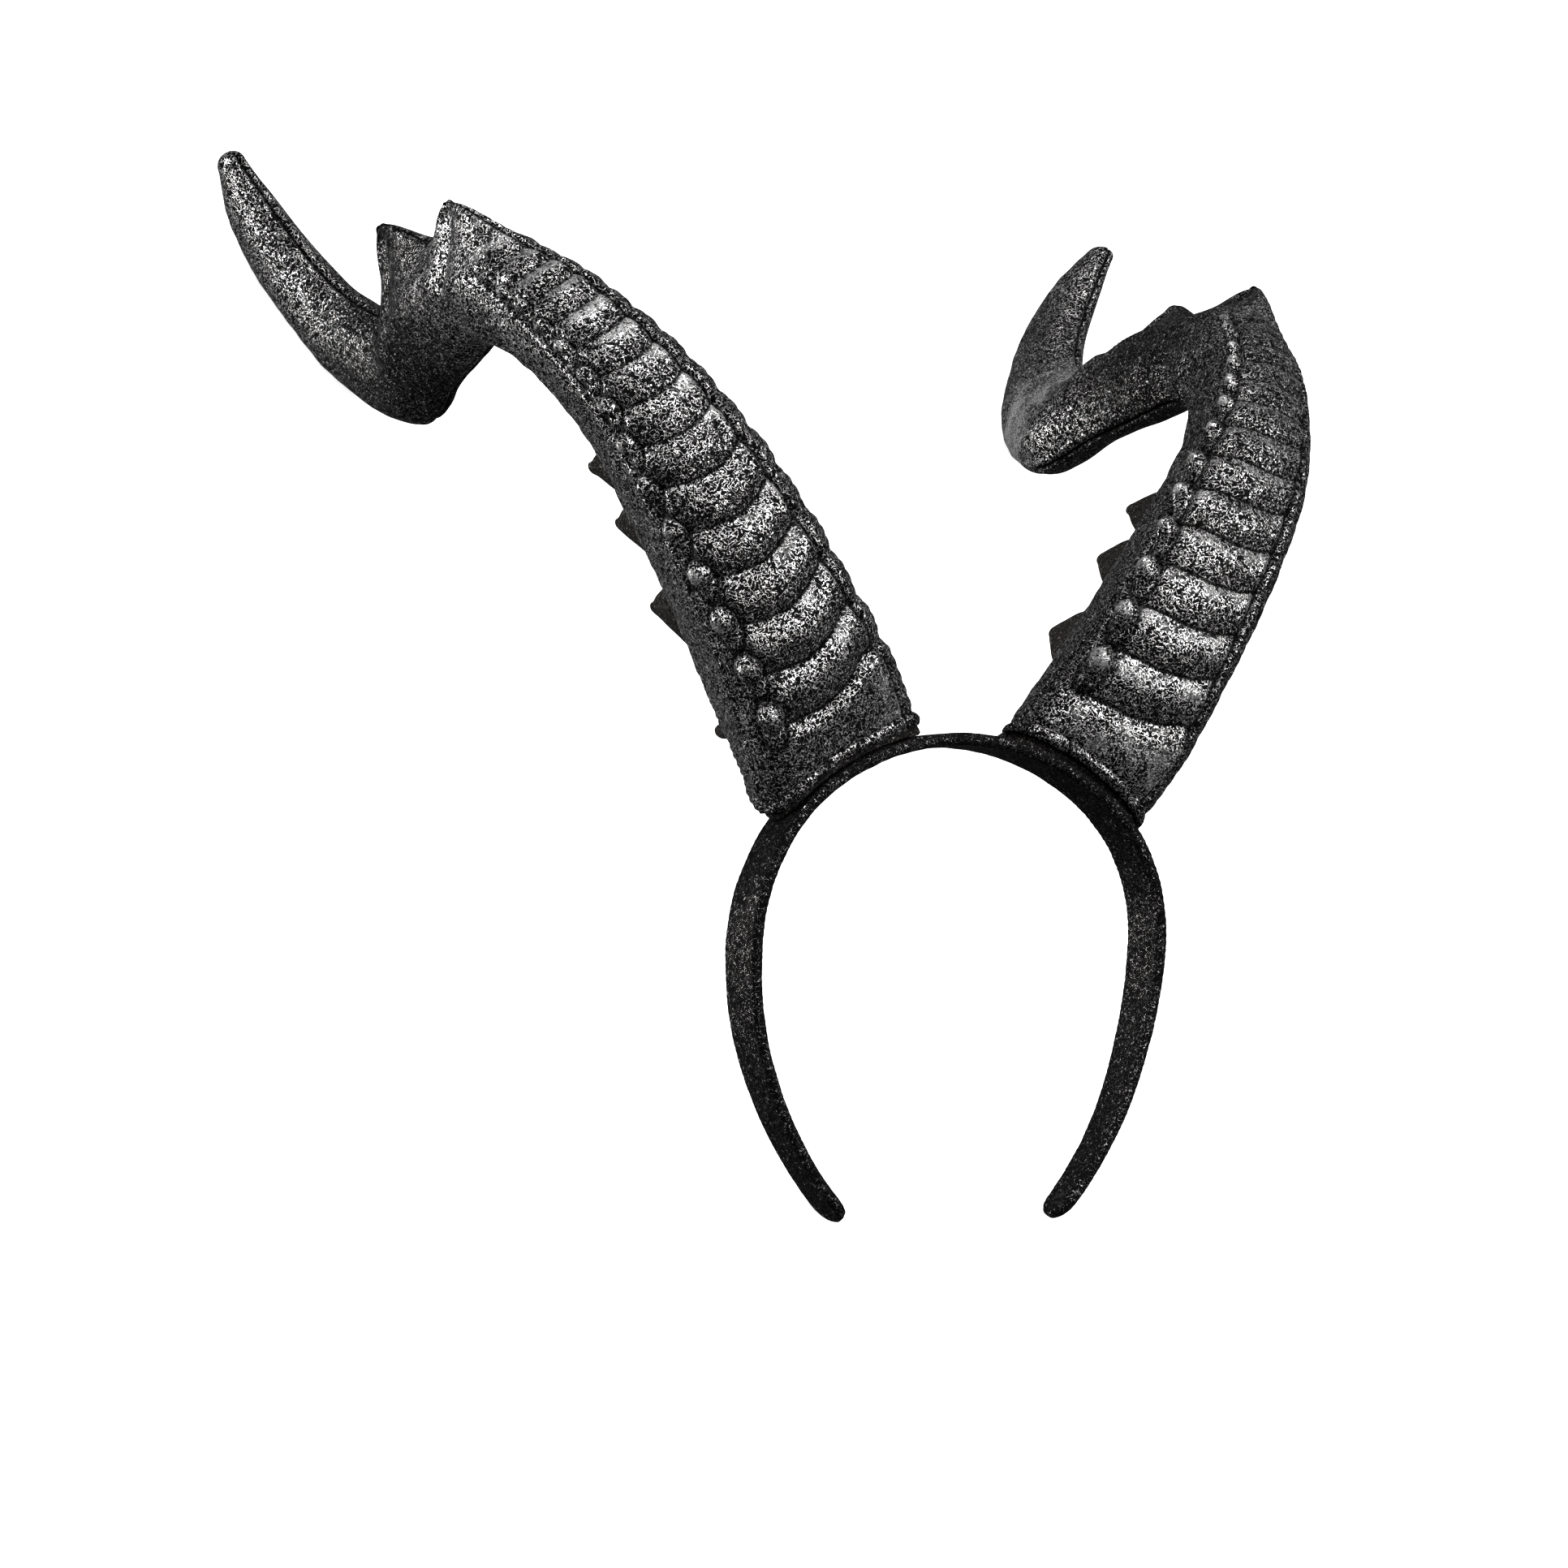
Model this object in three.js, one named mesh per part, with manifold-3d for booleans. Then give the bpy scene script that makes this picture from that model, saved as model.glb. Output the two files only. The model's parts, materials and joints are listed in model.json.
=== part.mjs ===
// Dragon horns headband: a fabric-covered C-shaped band that carries two large stuffed horns.
// Each horn has a ribbed front, a row of small thorns along one front edge, two fins and an upturned
// prong on its hooked head, and four shark-fin spikes down its back. Millimetres, +Z up.
// The pieces are modelled as worn (X to the right, Y to the back of the head, Z up, with the top of
// the band at the origin) and then laid back until the leg ends and the two hooks rest on one surface.
import * as THREE from 'three';
import { mergeVertices } from 'three/addons/utils/BufferGeometryUtils.js';
import Module from 'manifold-3d';

const wasm = await Module();
wasm.setup();

// Band: three tangent arcs on each side, from the top to a leg end
const BAND_ARCS = [
  { radius: 94, untilDegrees: 35 },
  { radius: 64, untilDegrees: 90 },
  { radius: 128, untilDegrees: 132.5 },
];
const BAND_STEP_DEGREES = 5;
const BAND_THICKNESS = 4.3;
const BAND_WIDTH_TOP = 19;
const BAND_WIDTH_END = 14;
const BAND_TAPER_START = 0.55;
const BAND_EDGE_ROUND = 1.2;
const BAND_END_ROUND = 7;
const BAND_END_STEPS = 4;
const BAND_END_TURN = 80;
const BAND_FORWARD = 3;

// The legs sweep back between two depths below the top
const BAND_SWEEP = 6.4;
const SWEEP_FROM = 25;
const SWEEP_TO = 110;

// Soft base of each horn: how much wider than the table each side is and how far it is shifted to the
// right there, fading out over some rows of the table
const HORNS = [
  { name: 'left', side: -1, wider: 2, shift: 0 },
  { name: 'right', side: 1, wider: -1.3, shift: -2.5 },
];
const BASE_FADE_ROWS = 4.5;

// Horns: where they sit on the band, how far they lean out and the gap that separate pieces keep
const HORN_MOUNT_DEGREES = 30.3;
const HORN_LEAN_DEGREES = 32.2;
const HORN_LIFT = 2.4;
const GAP = 0.35;

// Base pad under each horn, no wider than the band
const PAD_INSET = 0.6;
const PAD_DROP = 9;
const PAD_RISE = 6;
const PAD_HALF_WIDTH = 9.3;

// Horn sections from the base to the prong, in the horn's own mid plane: back is away from the face,
// up is along the horn. Each row has the front point, the back point, the half width across and its
// shift to the right, how round the section is (0 a flat-fronted wedge, 1 an ellipse) and how much of
// its front is a thin fin.
const HORN_SECTIONS = [
  { frontBack: -11, frontUp: 0, rearBack: 37, rearUp: 7, half: 30, shift: 3.5, round: 0, fin: 0 },
  { frontBack: -22, frontUp: 22, rearBack: 42, rearUp: 22, half: 28.5, shift: 3, round: 0, fin: 0 },
  { frontBack: -29, frontUp: 46, rearBack: 41, rearUp: 44, half: 26, shift: 1.5, round: 0, fin: 0 },
  { frontBack: -31, frontUp: 80, rearBack: 35.5, rearUp: 75, half: 24, shift: 0.5, round: 0, fin: 0 },
  { frontBack: -29, frontUp: 110, rearBack: 32, rearUp: 103, half: 22, shift: 0, round: 0.1, fin: 0 },
  { frontBack: -23, frontUp: 133, rearBack: 31, rearUp: 127, half: 20, shift: 0, round: 0.25, fin: 0 },
  { frontBack: -12, frontUp: 154, rearBack: 36, rearUp: 143.5, half: 18.5, shift: 0, round: 0.4, fin: 0 },
  { frontBack: 6, frontUp: 177, rearBack: 44, rearUp: 155, half: 17, shift: 0, round: 0.6, fin: 0 },
  { frontBack: 25, frontUp: 193, rearBack: 54, rearUp: 162, half: 15.5, shift: 0, round: 0.8, fin: 0 },
  { frontBack: 50, frontUp: 214.5, rearBack: 65.5, rearUp: 164.5, half: 14.5, shift: 0, round: 1, fin: 0.35 },
  { frontBack: 70, frontUp: 203, rearBack: 79, rearUp: 161, half: 14.5, shift: 0, round: 1, fin: 0.05 },
  { frontBack: 101, frontUp: 214, rearBack: 105, rearUp: 154, half: 14.5, shift: 0, round: 1, fin: 0.35 },
  { frontBack: 123, frontUp: 183, rearBack: 136, rearUp: 144, half: 14, shift: 0, round: 1, fin: 0.05 },
  { frontBack: 147, frontUp: 194, rearBack: 170.5, rearUp: 164, half: 12, shift: 0, round: 1, fin: 0 },
  { frontBack: 157, frontUp: 207, rearBack: 187, rearUp: 192, half: 10.5, shift: 0, round: 1, fin: 0 },
  { frontBack: 163, frontUp: 222, rearBack: 194, rearUp: 214, half: 9, shift: 0, round: 1, fin: 0 },
  { frontBack: 167, frontUp: 238, rearBack: 192, rearUp: 236, half: 7, shift: 0, round: 1, fin: 0 },
  { frontBack: 170, frontUp: 250, rearBack: 184, rearUp: 250, half: 4.5, shift: 0, round: 1, fin: 0 },
];
const PRONG_TIP = { back: 175, up: 255 };
const FIN_EDGE = 0.02;
const FIN_BLEND = 3;

// Half of a section's outline, front to back: across and depth as shares of the half width and the
// depth, and how strongly the ribs show there.
const SECTION_OUTLINE = [
  { across: 0, depth: 0, rib: 1 },
  { across: 0.5, depth: 0, rib: 1 },
  { across: 0.82, depth: 0.03, rib: 1 },
  { across: 0.97, depth: 0.11, rib: 0.9 },
  { across: 1, depth: 0.22, rib: 0.45 },
  { across: 0.93, depth: 0.4, rib: 0.1 },
  { across: 0.7, depth: 0.64, rib: 0 },
  { across: 0.4, depth: 0.85, rib: 0 },
  { across: 0.16, depth: 0.97, rib: 0 },
  { across: 0, depth: 1, rib: 0 },
];
const THORN_COLUMN = 3;

// Ribs follow one another up the front, closer together towards the head
const RIB_COUNT = 14;
const RIB_FIRST = 27;
const RIB_PITCH_LOW = 18.6;
const RIB_PITCH_HIGH = 9.4;
const RIB_DEPTH = 1.8;
const RIB_END_STRENGTH = 0.35;
const GROOVE_POWER = 2.2;
const THORN_HEIGHT = 3.4;
const THORN_FIRST = 0.3;
const THORN_FORWARD = 0.6;
const STATIONS_PER_RIB = [0, 0.14, 0.5, 0.86];
const HEAD_STATION_STEP = 0.34;
const RAIL_SAMPLES = 600;

// Spikes down the back: how far up the horn the tip is, its reach behind the horn's back,
// the length of its root along the horn and its half thickness there
const SPIKES = [
  { tipUp: 116, reach: 19, root: 24, half: 4 },
  { tipUp: 95, reach: 19, root: 27, half: 4.5 },
  { tipUp: 64, reach: 20, root: 31, half: 5 },
  { tipUp: 15, reach: 18, root: 33, half: 5.5 },
];
const SPIKE_TIP_HALF = 1.2;
const SPIKE_TOP_SHARE = 0.22;
const SPIKE_SINK = 12;

// A spike's outline beyond its root: which root end a point is measured from, how far out and how far
// along it lies on the way to the tip, a shift in millimetres and its share of the half thickness
const SPIKE_OUTLINE = [
  { from: 'lower', out: 0.44, along: 0.54, shiftBack: 0, shiftUp: 0, thick: 0.7 },
  { from: 'lower', out: 1, along: 1, shiftBack: 0, shiftUp: -2.5, thick: 0 },
  { from: 'upper', out: 1, along: 1, shiftBack: -1, shiftUp: 0, thick: 0 },
  { from: 'upper', out: 0.5, along: 0.5, shiftBack: 0, shiftUp: 1, thick: 0.8 },
];

// Distance within which corners are one, and halvings in the search for the angle the headband lies at
const MERGE_DISTANCE = 1e-4;
const LAY_STEPS = 50;

const FABRIC_BLACK = { color: 0x19191b, roughness: 0.55, metalness: 0.2 };
const FOIL_BLACK = { color: 0x2b2b2e, roughness: 0.45, metalness: 0.45 };
const SIDE_GREY = { color: 0x242322, roughness: 0.7, metalness: 0.15 };

const radians = THREE.MathUtils.degToRad;
const lerp = THREE.MathUtils.lerp;

// Six times the volume inside a closed set of faces, negative where they point inwards
function signedVolume(points, faces) {
  let sum = 0;
  for (let corner = 0; corner < faces.length; corner += 3) {
    const [one, two, three] = faces.slice(corner, corner + 3).map((index) => points[index]);
    sum += one.dot(two.clone().cross(three));
  }
  return sum;
}

// A closed geometry from rings of equal length, with both ends filled from a middle point
function loft(rings, startPoint, endPoint) {
  const count = rings[0].length;
  const points = rings.flat();
  const start = points.push(startPoint) - 1;
  const end = points.push(endPoint) - 1;
  const faces = [];
  const last = (rings.length - 1) * count;
  for (let side = 0; side < count; side++) {
    const next = (side + 1) % count;
    for (let ring = 0; ring < rings.length - 1; ring++) {
      const low = ring * count;
      const high = low + count;
      faces.push(low + side, low + next, high + next);
      faces.push(low + side, high + next, high + side);
    }
    faces.push(start, next, side);
    faces.push(end, last + side, last + next);
  }
  if (signedVolume(points, faces) < 0) {
    faces.reverse();
  }
  const geometry = new THREE.BufferGeometry();
  const numbers = points.flatMap((point) => point.toArray());
  geometry.setAttribute('position', new THREE.Float32BufferAttribute(numbers, 3));
  geometry.setIndex(faces);
  return geometry;
}

function toSolid(geometry) {
  const bare = geometry.clone();
  bare.deleteAttribute('normal');
  bare.deleteAttribute('uv');
  const merged = mergeVertices(bare, MERGE_DISTANCE);
  const vertProperties = new Float32Array(merged.attributes.position.array);
  const triVerts = new Uint32Array(merged.index.array);
  return new wasm.Manifold(new wasm.Mesh({ numProp: 3, vertProperties, triVerts }));
}

function toGeometry(solid) {
  const mesh = solid.getMesh();
  const geometry = new THREE.BufferGeometry();
  geometry.setAttribute('position', new THREE.BufferAttribute(new Float32Array(mesh.vertProperties), 3));
  geometry.setIndex(new THREE.BufferAttribute(new Uint32Array(mesh.triVerts), 1));
  geometry.computeVertexNormals();
  return geometry;
}

function largest(solids) {
  return solids.reduce((best, solid) => (solid.volume() > best.volume() ? solid : best));
}

// Outer line of one half of the band: a point and a tangent angle for each step from the top
function bandHalf() {
  const line = [];
  let x = 0;
  let z = 0;
  let angle = 0;
  for (const arc of BAND_ARCS) {
    const steps = Math.round((arc.untilDegrees - angle) / BAND_STEP_DEGREES);
    const from = angle;
    for (let step = 1; step <= steps; step++) {
      const to = lerp(from, arc.untilDegrees, step / steps);
      x += arc.radius * (Math.sin(radians(to)) - Math.sin(radians(angle)));
      z -= arc.radius * (Math.cos(radians(angle)) - Math.cos(radians(to)));
      angle = to;
      line.push({ x, z, angle });
    }
  }
  return line;
}

function bandWidthAt(share) {
  const taper = THREE.MathUtils.smoothstep(share, BAND_TAPER_START, 1);
  return lerp(BAND_WIDTH_TOP, BAND_WIDTH_END, taper);
}

// One ring of the band's section: outer face, front rim, inner face and back rim
function bandRing(place, width, grow) {
  const half = width / 2 + grow;
  const top = grow;
  const bottom = -BAND_THICKNESS - grow;
  const round = Math.min(BAND_EDGE_ROUND, half / 2);
  const section = [
    [-half + round, top], [half - round, top], [half, top - round], [half, bottom + round],
    [half - round, bottom], [-half + round, bottom], [-half, bottom + round], [-half, top - round],
  ];
  const outX = Math.sin(radians(place.angle));
  const outZ = Math.cos(radians(place.angle));
  const back = BAND_SWEEP * THREE.MathUtils.smoothstep(-place.z, SWEEP_FROM, SWEEP_TO) - BAND_FORWARD;
  return section.map(([across, out]) => new THREE.Vector3(
    place.x + outX * out,
    across + back,
    place.z + outZ * out,
  ));
}

function bandGeometry(grow) {
  const half = bandHalf();
  const right = half.map((place, step) => ({ ...place, share: (step + 1) / half.length }));
  const endPlace = right[right.length - 1];
  const along = new THREE.Vector3(Math.cos(radians(endPlace.angle)), 0, -Math.sin(radians(endPlace.angle)));
  for (let step = 1; step <= BAND_END_STEPS; step++) {
    const turn = (step / BAND_END_STEPS) * radians(BAND_END_TURN);
    const reach = BAND_END_ROUND * Math.sin(turn);
    right.push({
      x: endPlace.x + along.x * reach,
      z: endPlace.z + along.z * reach,
      angle: endPlace.angle,
      share: 1,
      narrow: Math.cos(turn),
    });
  }
  const left = right.map((place) => ({ ...place, x: -place.x, angle: -place.angle }));
  const places = [...left.reverse(), ...right];
  const rings = places.map((place) => bandRing(place, bandWidthAt(place.share) * (place.narrow ?? 1), grow));
  const middle = (ring) => ring.reduce((sum, p) => sum.add(p), new THREE.Vector3()).divideScalar(ring.length);
  return loft(rings, middle(rings[0]), middle(rings[rings.length - 1]));
}

// Distance up the front at which each rib starts
function ribStarts() {
  const starts = [RIB_FIRST];
  for (let rib = 0; rib < RIB_COUNT; rib++) {
    starts.push(starts[rib] + lerp(RIB_PITCH_LOW, RIB_PITCH_HIGH, rib / (RIB_COUNT - 1)));
  }
  return starts;
}

// Smooth curves through a column of the section table
function sectionCurves() {
  const front = HORN_SECTIONS.map((row) => new THREE.Vector3(0, row.frontBack, row.frontUp));
  const rear = HORN_SECTIONS.map((row) => new THREE.Vector3(0, row.rearBack, row.rearUp));
  return {
    front: new THREE.CatmullRomCurve3(front, false, 'centripetal'),
    rear: new THREE.CatmullRomCurve3(rear, false, 'centripetal'),
  };
}

// A horn's section at a place along the table, where 2.5 is half way from row 2 to row 3
function sectionAt(place, curves, horn) {
  const lastRow = HORN_SECTIONS.length - 1;
  const row = Math.min(Math.floor(place), lastRow - 1);
  const part = place - row;
  const mix = (column) => lerp(HORN_SECTIONS[row][column], HORN_SECTIONS[row + 1][column], part);
  const fade = Math.max(0, 1 - place / BASE_FADE_ROWS);
  return {
    front: curves.front.getPoint(place / lastRow),
    rear: curves.rear.getPoint(place / lastRow),
    half: mix('half') + horn.wider * fade,
    shift: mix('shift') + horn.shift * fade,
    round: mix('round'),
    fin: mix('fin'),
  };
}

// Places along the table where rings are made: several on each rib, then even steps over the head
function hornPlaces(curves) {
  const lastRow = HORN_SECTIONS.length - 1;
  const lengths = [0];
  let before = curves.front.getPoint(0);
  for (let step = 1; step <= RAIL_SAMPLES; step++) {
    const point = curves.front.getPoint(step / RAIL_SAMPLES);
    lengths.push(lengths[step - 1] + point.distanceTo(before));
    before = point;
  }
  const placeOf = (length) => {
    const step = lengths.findIndex((value) => value >= length);
    return (step / RAIL_SAMPLES) * lastRow;
  };
  const starts = ribStarts();
  const places = [
    { place: 0, groove: 0, thorn: 0 },
    { place: placeOf(RIB_FIRST / 2), groove: 0, thorn: THORN_FIRST },
  ];
  for (let rib = 0; rib < RIB_COUNT; rib++) {
    const strength = lerp(1, RIB_END_STRENGTH, rib / (RIB_COUNT - 1));
    for (const share of STATIONS_PER_RIB) {
      const groove = strength * Math.abs(share * 2 - 1) ** GROOVE_POWER;
      const thorn = share > 0 ? strength * share : 0;
      places.push({ place: placeOf(lerp(starts[rib], starts[rib + 1], share)), groove, thorn });
    }
  }
  const ribEnd = placeOf(starts[RIB_COUNT]);
  const steps = Math.ceil((lastRow - ribEnd) / HEAD_STATION_STEP);
  for (let step = 0; step <= steps; step++) {
    places.push({ place: lerp(ribEnd, lastRow, step / steps), groove: 0, thorn: 0 });
  }
  return places;
}

// One ring of a horn: the outline's half runs down one side and back up the other, and the lowest rings
// bend to follow the band
function hornRing(station, curves, grow, horn) {
  const section = sectionAt(station.place, curves, horn);
  const depthWay = section.rear.clone().sub(section.front);
  const depth = depthWay.length();
  depthWay.normalize();
  const column = (index, side) => {
    const row = SECTION_OUTLINE[index];
    const turn = (index / (SECTION_OUTLINE.length - 1)) * Math.PI;
    const slimming = section.fin > 0 ? Math.min(1, Math.max(row.depth, FIN_EDGE) / section.fin) : 1;
    const slim = lerp(1, slimming, Math.min(1, section.fin * FIN_BLEND));
    const across = lerp(row.across, Math.sin(turn), section.round) * slim;
    const inward = lerp(row.depth, (1 - Math.cos(turn)) / 2, section.round);
    const thorn = side < 0 && index === THORN_COLUMN ? station.thorn * THORN_HEIGHT : 0;
    const sink = row.rib * station.groove * RIB_DEPTH;
    const outX = side * (across * (section.half + grow - sink * across) + thorn);
    const outDepth = inward * (depth + 2 * grow) - grow + sink * (1 - inward) - thorn * THORN_FORWARD;
    const point = section.front.clone().addScaledVector(depthWay, outDepth).setX(section.shift + outX);
    point.z -= (point.x * point.x) / (2 * BAND_ARCS[0].radius) * Math.max(0, 1 - station.place);
    return point;
  };
  const last = SECTION_OUTLINE.length - 1;
  const ring = [];
  for (let index = 0; index <= last; index++) {
    ring.push(column(index, 1));
  }
  for (let index = last - 1; index >= 1; index--) {
    ring.push(column(index, -1));
  }
  return ring;
}

function hornGeometry(grow, horn) {
  const curves = sectionCurves();
  const rings = hornPlaces(curves).map((station) => hornRing(station, curves, grow, horn));
  const base = HORN_SECTIONS[0];
  const baseMiddle = new THREE.Vector3(
    base.shift + horn.shift,
    (base.frontBack + base.rearBack) / 2,
    (base.frontUp + base.rearUp) / 2,
  );
  return loft(rings, baseMiddle, new THREE.Vector3(0, PRONG_TIP.back, PRONG_TIP.up));
}

// The pad between the band and a horn, before it is cut to both: the horn's base outline, a little
// smaller, with straight sides
function padGeometry(horn) {
  const ring = hornRing({ place: 0, groove: 0, thorn: 0 }, sectionCurves(), -PAD_INSET, horn);
  const levelRing = (level) => ring.map((point) => {
    const back = THREE.MathUtils.clamp(point.y + BAND_FORWARD, -PAD_HALF_WIDTH, PAD_HALF_WIDTH);
    return new THREE.Vector3(point.x, back - BAND_FORWARD, level);
  });
  const middle = (level) => new THREE.Vector3(HORN_SECTIONS[0].shift + horn.shift, -BAND_FORWARD, level);
  return loft([levelRing(-PAD_DROP), levelRing(PAD_RISE)], middle(-PAD_DROP), middle(PAD_RISE));
}

// A place on the horn's back ridge at a given height
function ridgeAt(up, curves) {
  for (let step = 0; step <= RAIL_SAMPLES; step++) {
    const point = curves.rear.getPoint(step / RAIL_SAMPLES);
    if (point.z >= up) {
      return point;
    }
  }
  return curves.rear.getPoint(1);
}

// A spike: a fin with a short flat top edge and a long lower edge, sunk into the horn before the cut
function spikeGeometry(spike) {
  const curves = sectionCurves();
  const upper = ridgeAt(spike.tipUp + spike.root * SPIKE_TOP_SHARE, curves);
  const lower = ridgeAt(Math.max(spike.tipUp - spike.root * (1 - SPIKE_TOP_SHARE), 1), curves);
  const ridge = ridgeAt(spike.tipUp, curves);
  const tip = new THREE.Vector3(0, ridge.y + spike.reach, spike.tipUp);
  const profile = [
    { at: new THREE.Vector3(0, upper.y - SPIKE_SINK, upper.z), half: spike.half },
    { at: new THREE.Vector3(0, lower.y - SPIKE_SINK, lower.z), half: spike.half },
  ];
  for (const { from, out, along, shiftBack, shiftUp, thick } of SPIKE_OUTLINE) {
    const root = from === 'lower' ? lower : upper;
    const back = lerp(root.y, tip.y, out) + shiftBack;
    const up = lerp(root.z, tip.z, along) + shiftUp;
    profile.push({ at: new THREE.Vector3(0, back, up), half: Math.max(spike.half * thick, SPIKE_TIP_HALF) });
  }
  const side = (sign) => profile.map(({ at, half }) => at.clone().setX(sign * half));
  const total = profile.reduce((sum, { at }) => sum.add(at), new THREE.Vector3());
  const middle = total.divideScalar(profile.length);
  const face = (sign) => middle.clone().setX(sign * spike.half);
  return loft([side(-1), side(1)], face(-1), face(1));
}

function piece(name, geometry, look) {
  const mesh = new THREE.Mesh(geometry, new THREE.MeshStandardMaterial(look));
  mesh.name = name;
  return mesh;
}

// A horn with its pad and spikes, set on one side of the band's top and leaning out. The two horns differ
// only in how their soft bases spread.
function addHorn(worn, horn, bandSolid) {
  const arc = BAND_ARCS[0];
  const turn = radians(HORN_MOUNT_DEGREES) * horn.side;
  const place = new THREE.Matrix4().makeRotationY(radians(HORN_LEAN_DEGREES) * horn.side);
  const outward = arc.radius + HORN_LIFT;
  place.setPosition(outward * Math.sin(turn), 0, outward * Math.cos(turn) - arc.radius);
  const hornCut = toSolid(hornGeometry(GAP, horn));
  const put = (pieceName, geometry, look) => {
    worn.add(piece(pieceName, geometry.applyMatrix4(place), look));
  };
  put(`${horn.name}_horn`, toGeometry(toSolid(hornGeometry(0, horn))), FOIL_BLACK);
  const pad = toSolid(padGeometry(horn)).subtract(hornCut);
  const padParts = toSolid(toGeometry(pad).applyMatrix4(place)).subtract(bandSolid).decompose();
  worn.add(piece(`${horn.name}_base`, toGeometry(largest(padParts)), SIDE_GREY));
  SPIKES.forEach((spike, index) => {
    const solid = toSolid(spikeGeometry(spike)).subtract(hornCut);
    put(`${horn.name}_spike_${index + 1}`, toGeometry(largest(solid.decompose())), SIDE_GREY);
  });
}

// How far to lay the headband back so that the leg ends and the hooks touch one flat surface
function layBackAngle(worn) {
  const points = [];
  worn.traverse((part) => {
    const position = part.geometry?.attributes.position;
    for (let index = 0; position && index < position.count; index++) {
      points.push({ back: position.getY(index), up: position.getZ(index) });
    }
  });
  const lowest = (angle, wanted) => Math.min(...points.filter(wanted)
    .map(({ back, up }) => up * Math.cos(angle) - back * Math.sin(angle)));
  let low = 0;
  let high = Math.PI / 2;
  for (let step = 0; step < LAY_STEPS; step++) {
    const angle = (low + high) / 2;
    const legsLower = lowest(angle, ({ up }) => up < 0) < lowest(angle, ({ up }) => up > 0);
    [low, high] = legsLower ? [angle, high] : [low, angle];
  }
  return { angle: low, drop: lowest(low, () => true) };
}

const worn = new THREE.Group();
const headband = bandGeometry(0);
worn.add(piece('headband', toGeometry(toSolid(headband)), FABRIC_BLACK));
const bandCut = toSolid(bandGeometry(GAP));
HORNS.forEach((horn) => addHorn(worn, horn, bandCut));

const { angle, drop } = layBackAngle(worn);
worn.rotation.x = -angle;
worn.position.z = -drop;

const object = new THREE.Group();
object.add(worn);
object.updateMatrixWorld(true);
const box = new THREE.Box3().setFromObject(object, true);
worn.position.x -= (box.min.x + box.max.x) / 2;
worn.position.y -= (box.min.y + box.max.y) / 2;
object.updateMatrixWorld(true);

export default object;
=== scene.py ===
# Dragon horns headband: a fabric-covered band with two stuffed horns, built in finer form around the
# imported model. Shapes are worked out in millimetres as worn (X to the right, Y to the back of the head,
# Z up, the top of the band at the origin) and put in the row frame, in metres, at the end.
import json
import math

import bpy
import numpy as np
from mathutils import Matrix, Vector, noise


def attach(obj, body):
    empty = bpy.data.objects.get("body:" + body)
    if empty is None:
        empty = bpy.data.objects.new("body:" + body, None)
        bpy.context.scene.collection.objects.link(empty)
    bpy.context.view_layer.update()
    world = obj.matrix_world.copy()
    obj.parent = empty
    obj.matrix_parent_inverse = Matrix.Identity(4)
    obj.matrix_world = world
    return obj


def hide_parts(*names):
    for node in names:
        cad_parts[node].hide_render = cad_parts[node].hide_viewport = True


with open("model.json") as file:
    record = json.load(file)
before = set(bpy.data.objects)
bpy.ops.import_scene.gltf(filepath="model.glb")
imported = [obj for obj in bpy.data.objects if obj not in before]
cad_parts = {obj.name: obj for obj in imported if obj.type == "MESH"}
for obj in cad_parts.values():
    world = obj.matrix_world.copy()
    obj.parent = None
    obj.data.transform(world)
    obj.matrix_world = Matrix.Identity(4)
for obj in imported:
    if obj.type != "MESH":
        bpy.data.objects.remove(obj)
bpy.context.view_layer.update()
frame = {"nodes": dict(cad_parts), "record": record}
MM = 0.001

# The band's outer line: tangent arcs from the top to a leg end (radius, angle at the arc's end)
BAND_ARCS = [(94.0, 35.0), (64.0, 90.0), (128.0, 132.5)]
BAND_STEP_DEGREES = 0.5
BAND_THICKNESS = 4.3
BAND_WIDTH_TOP = 19.0
BAND_WIDTH_END = 14.0
BAND_TAPER_START = 0.55
BAND_END_ROUND = 7.0
BAND_END_STEPS = 14
BAND_EDGE_SAMPLES = 5
BAND_EDGE_ROUND = 1.7
BAND_EDGE_MOST = 0.6
BAND_CROWN = 0.35
BAND_FORWARD = 3.0
BAND_FACE_SAMPLES = 15
BAND_END_TURN = 84.0
BAND_END_THINNING = 0.35

# Slack of the band's cover: height and size of a swell, and its seed
BAND_SWELLS = [(0.18, 9.0, 2.0), (0.12, 4.0, 5.0)]

# The stitched rims: where they lie across the band, their bumps, the painted shade between the bumps, and
# the foil heaped on the crowns of the front one's stitches, a painted glint
RIM_SPAN = (7.9, 9.2)
RIM_BUMP_PITCH = 2.6
RIM_BUMP_HEIGHT = 0.3
RIM_BUMP_MIDDLE = 0.6
RIM_FRONT_PHASE = 0.4
RIM_PAINTED_SHADE = 0.55
RIM_PAINTED_SHADE_POWER = 3
STITCH_WIDTH = 0.8
STITCH_GLINT_FOIL = 1.6
STITCH_POWER = 4
BAND_FOIL = 0.5

# The legs sweep back between two depths below the top
BAND_SWEEP = 6.4
SWEEP_FROM = 25.0
SWEEP_TO = 110.0

# Where the horns sit on the band, and the band's inner face at its top, which the head rest marks
HORN_MOUNT_DEGREES = 30.3
HORN_LEAN_DEGREES = 32.2
HORN_LIFT = 2.4
HEAD_REST_UP = -4.642

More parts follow.
